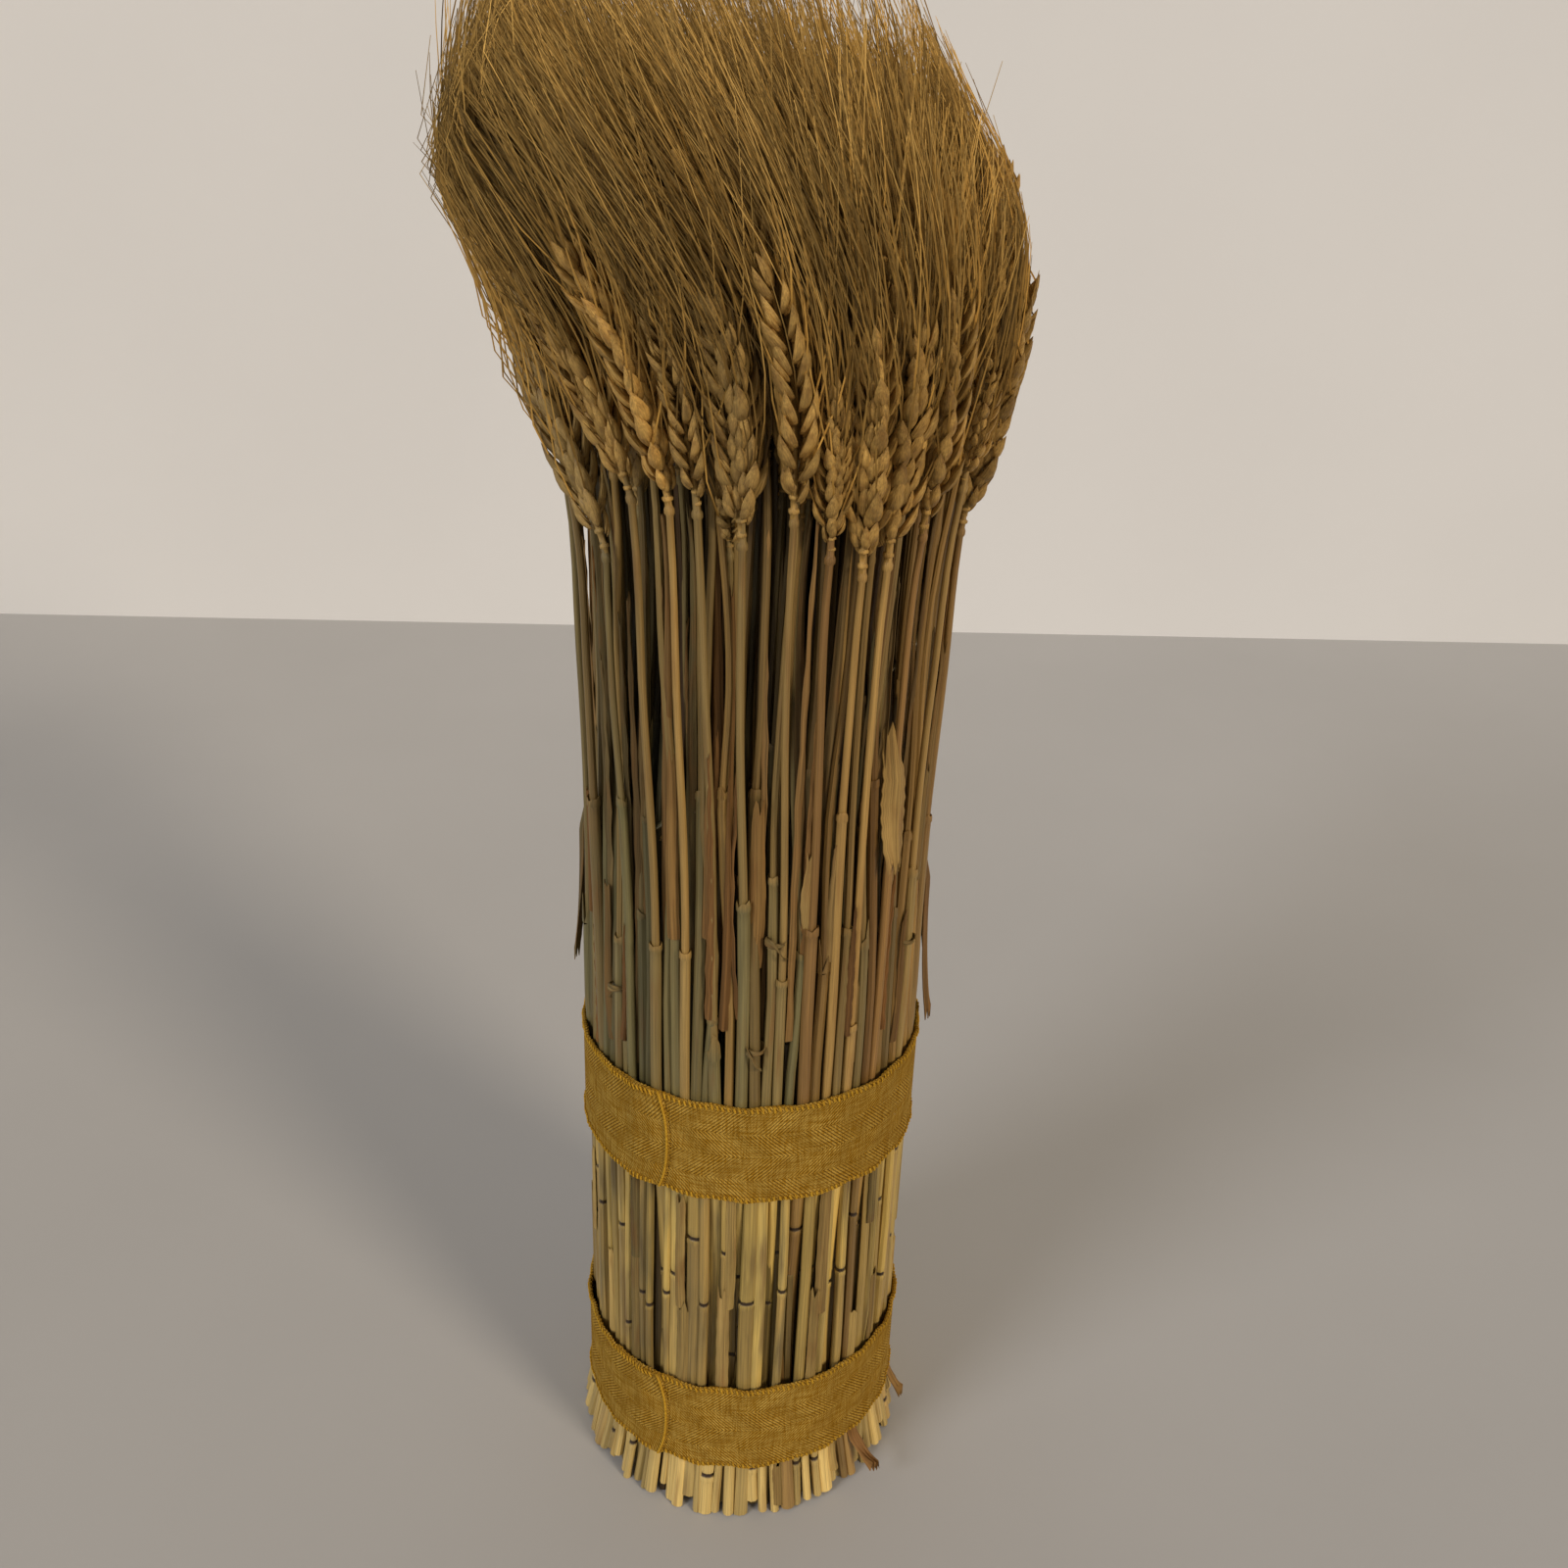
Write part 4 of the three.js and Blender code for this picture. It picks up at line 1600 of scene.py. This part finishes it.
    def fray(self, rng: np.random.Generator) -> Shape:
        """Returns the few thread ends that stick out of the cut end."""
        rod = turned([(0, 0.13), (1.0, 0.13), (2.2, 0.1)], 4)
        x, y, z = rod.points.T
        made, rests = [], []
        for up in np.arange(2.5, self.width - 2.5, 0.8):
            reach = rng.uniform(0.3, 1.0)
            along = self.length - self.end_of(up) - self.hem_inset + z * reach
            across = up + x + z * rng.normal(0, 0.25)
            made.append(self.wrapped(along, across, y + z * rng.uniform(0, 0.12)))
            rests.append(rod.points + rng.uniform(0, 200, 3))
        return rod.copies(np.array(made), rest=np.array(rests))

    def build(self, cloth: bpy.types.Material, thread: bpy.types.Material,
              pressed: Sequence[str]) -> None:
        """Makes the ribbon's pieces.

        Args:
            cloth: The cloth's material.
            thread: The stitching's material.
            pressed: The stems that it is stretched round; not used.
        """
        rng = np.random.default_rng(SEED + int(self.foot_z))
        piece = self.cloth().piece(f"{self.name}_cloth", cloth, "ribbon_cloth", [self.name])
        stitches = Shape.joined([self.stitching(rng), self.hem(), self.fray(rng)])
        sewn = stitches.piece(f"{self.name}_overlocking", thread, "ribbon_stitching", [self.name])
        list(pressed)


@dataclass
class LooseLeaf:
    """A dry leaf scrap caught on the outside: creased along its middle, its ends torn."""

    node: str
    width: float
    green: float
    pale: float = 0.0
    thickness: float = 0.3
    crease: float = 0.35
    held: float = 16.0
    root_radius: float = 54.5

    def build(self, material: bpy.types.Material) -> None:
        """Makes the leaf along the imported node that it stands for, its held end among the stalks."""
        rng = np.random.default_rng(SEED + len(self.node) + int(self.node[-1]))
        path = Path.of_node(self.node)
        low, high = path.z[0], path.z[-1]
        inside = FORM.laid(path.at(np.array([high])))[0]
        inside[:2] *= self.root_radius / np.hypot(*inside[:2])
        length = high - low + self.held
        leaf = strip(length, 1.0, 30, 6, self.thickness)
        across, out, up = leaf.points.T
        share = up / length
        half = self.width * np.interp(share, [0, 0.12, 0.5, 1], [0.8, 0.95, 1.0, 0.7])
        ends = 2.6 * np.sin(across * 19 + 2) * (np.exp(-share * 14) - np.exp(-(1 - share) * 14))
        centre = path.at(np.minimum(low + up, high))
        root = FORM.lean(inside + (0, 0, self.held))
        centre = centre + smooth(low + up, high - 2, high + self.held)[:, None] * (root - centre)
        angle = np.arctan2(centre[:, 0], -centre[:, 1])
        angle = angle + 0.5 * np.sin(share * 3.1 + self.width) * (1 - share)
        wide = across * half * (1 + 0.06 * np.sin(up * 1.3))
        folded = self.crease * self.width * np.abs(across) * 2
        x, y = rotated(wide, folded * (0.4 + 0.6 * np.sin(share * 2.6)) - out, angle)
        leaf.tags["rest"] = np.stack([across * self.width, out, up], axis=1) + rng.uniform(0, 90, 3)
        tones = {"tone": rng.uniform(0.85, 1.15), "green": self.green, "pale": self.pale}
        leaf.tags |= {name: np.full(len(up), value) for name, value in tones.items()}
        leaf.points = centre + np.stack([x, y, ends], axis=1)
        leaf.piece(f"{self.node}_blade", material, "dry_leaf", [self.node])


LOOSE_LEAVES = (
    LooseLeaf("dry_leaf_1", width=5, green=0.2, pale=0.1),
    LooseLeaf("dry_leaf_2", width=4, green=0.9),
    LooseLeaf("dry_leaf_3", width=9, green=0.0, pale=0.6),
    LooseLeaf("dry_leaf_4", width=4.5, green=0.0, pale=0.1),
    LooseLeaf("dry_leaf_5", width=4, green=0.0, pale=0.3),
)


@dataclass(frozen=True)
class Wrap:
    """A kind of dead sheath or blade, and the ranges its copies are drawn from.

    The cup is how far its edges turn in for its width, or, below 0, how sharply it is folded.
    """

    name: str
    count: int
    foot_z: Span
    long: Span
    wide: Span
    radius: Span
    green: Span
    pale: Span
    cup: float = 0.22
    slant: float = 0.5
    narrowing: float = 0.05


WRAPS = (
    Wrap("sheath_tops", 18, (57, 61), (22, 66), (3.6, 5.2), (56.4, 56.9), (0.2, 0.9), (0.3, 1.0)),
    Wrap("sheath_feet", 14, (86, 118), (34, 70), (3.4, 5.0), (56.3, 56.8), (0.2, 1.0), (0.2, 1.0)),
    Wrap("sheath_stubs", 8, (3, 12), (16, 28), (3.2, 4.6), (56.2, 56.8), (0.0, 0.5), (0.6, 1.0), slant=0.4),
    Wrap("leaf_blades", 84, (176, 236), (60, 190), (2.2, 5.0), (50.5, 55.2), (0.0, 1.0), (0.0, 0.12),
         cup=-0.4, slant=3.2, narrowing=0.7),
    Wrap("torn_blades", 26, (178, 250), (24, 80), (3.0, 5.5), (54.8, 56.4), (0.0, 0.7), (0.0, 0.4),
         cup=0.3, slant=1.4, narrowing=0.35),
    Wrap("rust_blades", 15, (183, 214), (40, 95), (2.4, 4.4), (55.4, 57.2), (0.0, 0.1), (0.0, 0.05),
         cup=-0.45, slant=3.0, narrowing=0.8),
)


@dataclass
class Sheaths:
    """Dead leaf blades and torn sheaths that lie over and among the outer stalks."""

    rows: int = 20
    columns: int = 5
    thickness: float = 0.25
    sectors: int = 3

    def build(self, material: bpy.types.Material) -> None:
        """Makes each kind in three pieces round the bundle."""
        blade = strip(1.0, 1.0, self.rows, self.columns, self.thickness)
        for order, kind in enumerate(WRAPS):
            rng = np.random.default_rng(SEED + order)
            held = [[] for _ in range(self.sectors)]
            for k in range(kind.count):
                azimuth = 360 * (k + rng.uniform(-0.4, 0.4)) / kind.count
                sector = int(azimuth % 360 * self.sectors // 360)
                held[sector].append(self.laid(blade, kind, azimuth, rng))
            for sector, strips in enumerate(held, start=1):
                points, rests, *tones = (np.array(column) for column in zip(*strips))
                tone, green, pale = (values[:, None] for values in tones)
                shape = blade.copies(points, rest=rests, tone=tone, green=green, pale=pale)
                shape.piece(f"{kind.name}_{sector}", material, "dry_leaf")

    def laid(self, blade: Shape, kind: Wrap, azimuth: float,
             rng: np.random.Generator) -> tuple[np.ndarray, np.ndarray, float, float, float]:
        """Lays one strip among the stalks.

        Args:
            blade: The flat strip, one unit long and wide.
            kind: What kind it is.
            azimuth: Where it lies.
            rng: Where its own sizes come from.

        Returns:
            Its points, their places on the flat strip, and its tone, greenness and paleness.
        """
        across, out, up = blade.points.T
        long, wide, radius = (rng.uniform(*span) for span in (kind.long, kind.wide, kind.radius))
        jag = 1.8 * np.sin(across * 11 + rng.uniform(0, 6))
        jag = jag + 1.4 * np.sin(across * 23 + rng.uniform(0, 6))
        z = rng.uniform(*kind.foot_z) + up * long + jag * smooth(up, 0.86, 1.0)
        half = wide * (1 - kind.narrowing * smooth(up, 0.35, 1.05))
        half = half * (1 + 0.04 * np.sin(up * 31 + azimuth))
        slant = rng.normal(0, kind.slant)
        angle = np.radians(azimuth + slant * up + 0.5 * slant * np.sin(up * 5))
        sharp = kind.cup < 0
        folded = np.abs(across) * 2 if sharp else (np.abs(across) * 2) ** 2
        turn = rng.normal(0, 0.5) * sharp + rng.normal(0, 0.12)
        deep = out - abs(kind.cup) * half * folded + 0.25 * np.sin(up * 40 + across * 3) * sharp
        tangent, deep = rotated(across * half, deep, -turn)
        x, y = rotated(tangent, -deep - radius, angle)
        points = FORM.lean(np.stack([x, y, z], axis=1))
        rest = np.stack([across * wide, out, z], axis=1) + rng.uniform(0, 400, 3)
        return points, rest, rng.uniform(0.6, 1.4), rng.uniform(*kind.green), rng.uniform(*kind.pale)


@dataclass
class Knots:
    """Withered leaf collars wound round a few of the front stems."""

    places: tuple[Span, ...] = (
        (6.5, 242), (1.0, 203), (-52, 212), (61, 226), (128, 230), (-140, 218)
    )
    turns: float = 1.4
    width: float = 3.0
    radius: float = 2.5
    stem_ring: float = 55.0
    seed: int = SEED + 40

    def build(self, material: bpy.types.Material) -> None:
        """Makes the collars as one piece."""
        rng = np.random.default_rng(self.seed)
        band = strip(1.0, 1.0, 30, 4, 0.3)
        across, out, along = band.points.T
        made, rests = [], []
        for azimuth, height in self.places:
            wound = 2 * math.pi * self.turns * along + rng.uniform(0, 6)
            spread = self.radius + 0.9 * along + 0.35 * np.sin(wound * 3 + across * 4) + out
            drop = -7.0 * smooth(along, 0.8, 1.0)
            x, y = polar(azimuth, self.stem_ring)
            z = height + across * self.width * (0.6 + 0.4 * np.sin(wound * 2)) + 1.6 * along + drop
            places = np.stack([x + spread * np.cos(wound), y + spread * np.sin(wound), z], axis=1)
            made.append(FORM.lean(places))
            rests.append(np.stack([across * 3, out, along * 20], axis=1) + rng.uniform(0, 90, 3))
        shape = band.copies(np.array(made), rest=np.array(rests), tone=1.2, green=0.8, pale=0.12)
        shape.piece("withered_collars", material, "dry_leaf")


# ---------------------------------------------------------------- the studio


@dataclass(frozen=True)
class Sun:
    """A wide soft light from far off."""

    name: str
    aim: tuple[float, float, float]
    width: float
    strength: float
    colour: Colour

    def hang(self) -> None:
        """Hangs the light."""
        lamp = bpy.data.lights.new(self.name, "SUN")
        lamp.angle = math.radians(self.width)
        lamp.energy = self.strength
        lamp.color = self.colour
        ob = bpy.data.objects.new(self.name, lamp)
        ob.rotation_euler = Vector(self.aim).to_track_quat("-Z", "Y").to_euler()
        bpy.context.scene.collection.objects.link(ob)


@dataclass
class Studio:
    """The floor, the plain wall well behind, the light and the camera."""

    floor_size: float = 90.0
    wall_y: float = 0.86
    wall_size: Span = (30.0, 1.2)
    wall_finish: FloorFinish = FloorFinish("wall", (0.69, 0.684, 0.675), (0.665, 0.659, 0.65))
    suns: tuple[Sun, ...] = (
        Sun("key", (-0.62, 0.66, -0.46), 15.0, 1.65, (1.0, 0.86, 0.69)),
        Sun("fill", (0.70, 0.62, -0.48), 24.0, 1.4, (0.96, 0.95, 0.97)),
    )
    sky: Colour = (0.66, 0.61, 0.54)
    sky_strength: float = 0.45
    eye: tuple[float, float, float] = (0.0, -455.9, 492.2)
    down: float = 26.15
    yaw: float = 1.39
    roll: float = 1.61
    lens: float = 36.0

    def build(self) -> None:
        """Sets up the studio."""
        self.plane(self.floor_size, FloorFinish())
        self.wall()
        for sun in self.suns:
            sun.hang()
        self.light_sky()
        self.camera()
        bpy.context.scene.view_settings.view_transform = "Standard"

    def plane(self, size: float, finish: FloorFinish) -> bpy.types.Object:
        """Returns a level square, named for its finish."""
        bpy.ops.object.select_all(action="DESELECT")
        bpy.ops.mesh.primitive_plane_add(size=size, location=(0, 0, 0))
        ob = bpy.context.object
        ob.name = finish.name
        ob.data.materials.append(finish.material())
        return ob

    def wall(self) -> None:
        """Stands the wall up on the floor."""
        wide, high = self.wall_size
        for vertex in self.plane(1.0, self.wall_finish).data.vertices:
            x, y, _ = vertex.co
            vertex.co = (x * wide, self.wall_y, (y + 0.5) * high)

    def light_sky(self) -> None:
        """Sets the even light from all round."""
        world = bpy.data.worlds.new("studio")
        world.use_nodes = True
        sky = next(n for n in world.node_tree.nodes if n.type == "BACKGROUND")
        sky.inputs["Color"].default_value = (*self.sky, 1.0)
        sky.inputs["Strength"].default_value = self.sky_strength
        bpy.context.scene.world = world

    def camera(self) -> None:
        """Stands the camera where the whole bundle is seen a little from above."""
        data = bpy.data.cameras.new("camera")
        data.lens = self.lens
        data.sensor_width = 36.0
        data.clip_start = 0.01
        ob = bpy.data.objects.new("camera", data)
        pitch, yaw, roll = (math.radians(a) for a in (self.down, self.yaw, self.roll))
        level_out = math.cos(pitch)
        forward = Vector((math.sin(yaw) * level_out, math.cos(yaw) * level_out, -math.sin(pitch)))
        level = Vector((math.cos(yaw), -math.sin(yaw), 0))
        upright = level.cross(forward)
        right = math.cos(roll) * level + math.sin(roll) * upright
        up = -math.sin(roll) * level + math.cos(roll) * upright
        turn = Matrix((right, up, -forward)).transposed().to_4x4()
        ob.matrix_world = Matrix.Translation(Vector(self.eye) * MM) @ turn
        bpy.context.scene.collection.objects.link(ob)
        bpy.context.scene.camera = ob


def main() -> None:
    """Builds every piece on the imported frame."""
    logging.basicConfig(level=logging.INFO, format="%(name)s: %(message)s")
    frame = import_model()
    Studio().build()
    straw, husk, awn = (finish().material() for finish in (StrawFinish, HuskFinish, AwnFinish))
    pressed = Sheaf(list(frame["nodes"])).build(straw, husk, awn)
    cloth, thread = ClothFinish().material(), ThreadFinish().material()
    for name, phase in (("lower_ribbon", 0.4), ("upper_ribbon", 2.1)):
        Ribbon(name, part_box(name)[0][2] / MM, phase).build(cloth, thread, pressed)
    dry = LeafFinish().material()
    for leaf in LOOSE_LEAVES:
        leaf.build(dry)
    Sheaths().build(dry)
    Knots().build(dry)


if __name__ == "__main__":
    main()
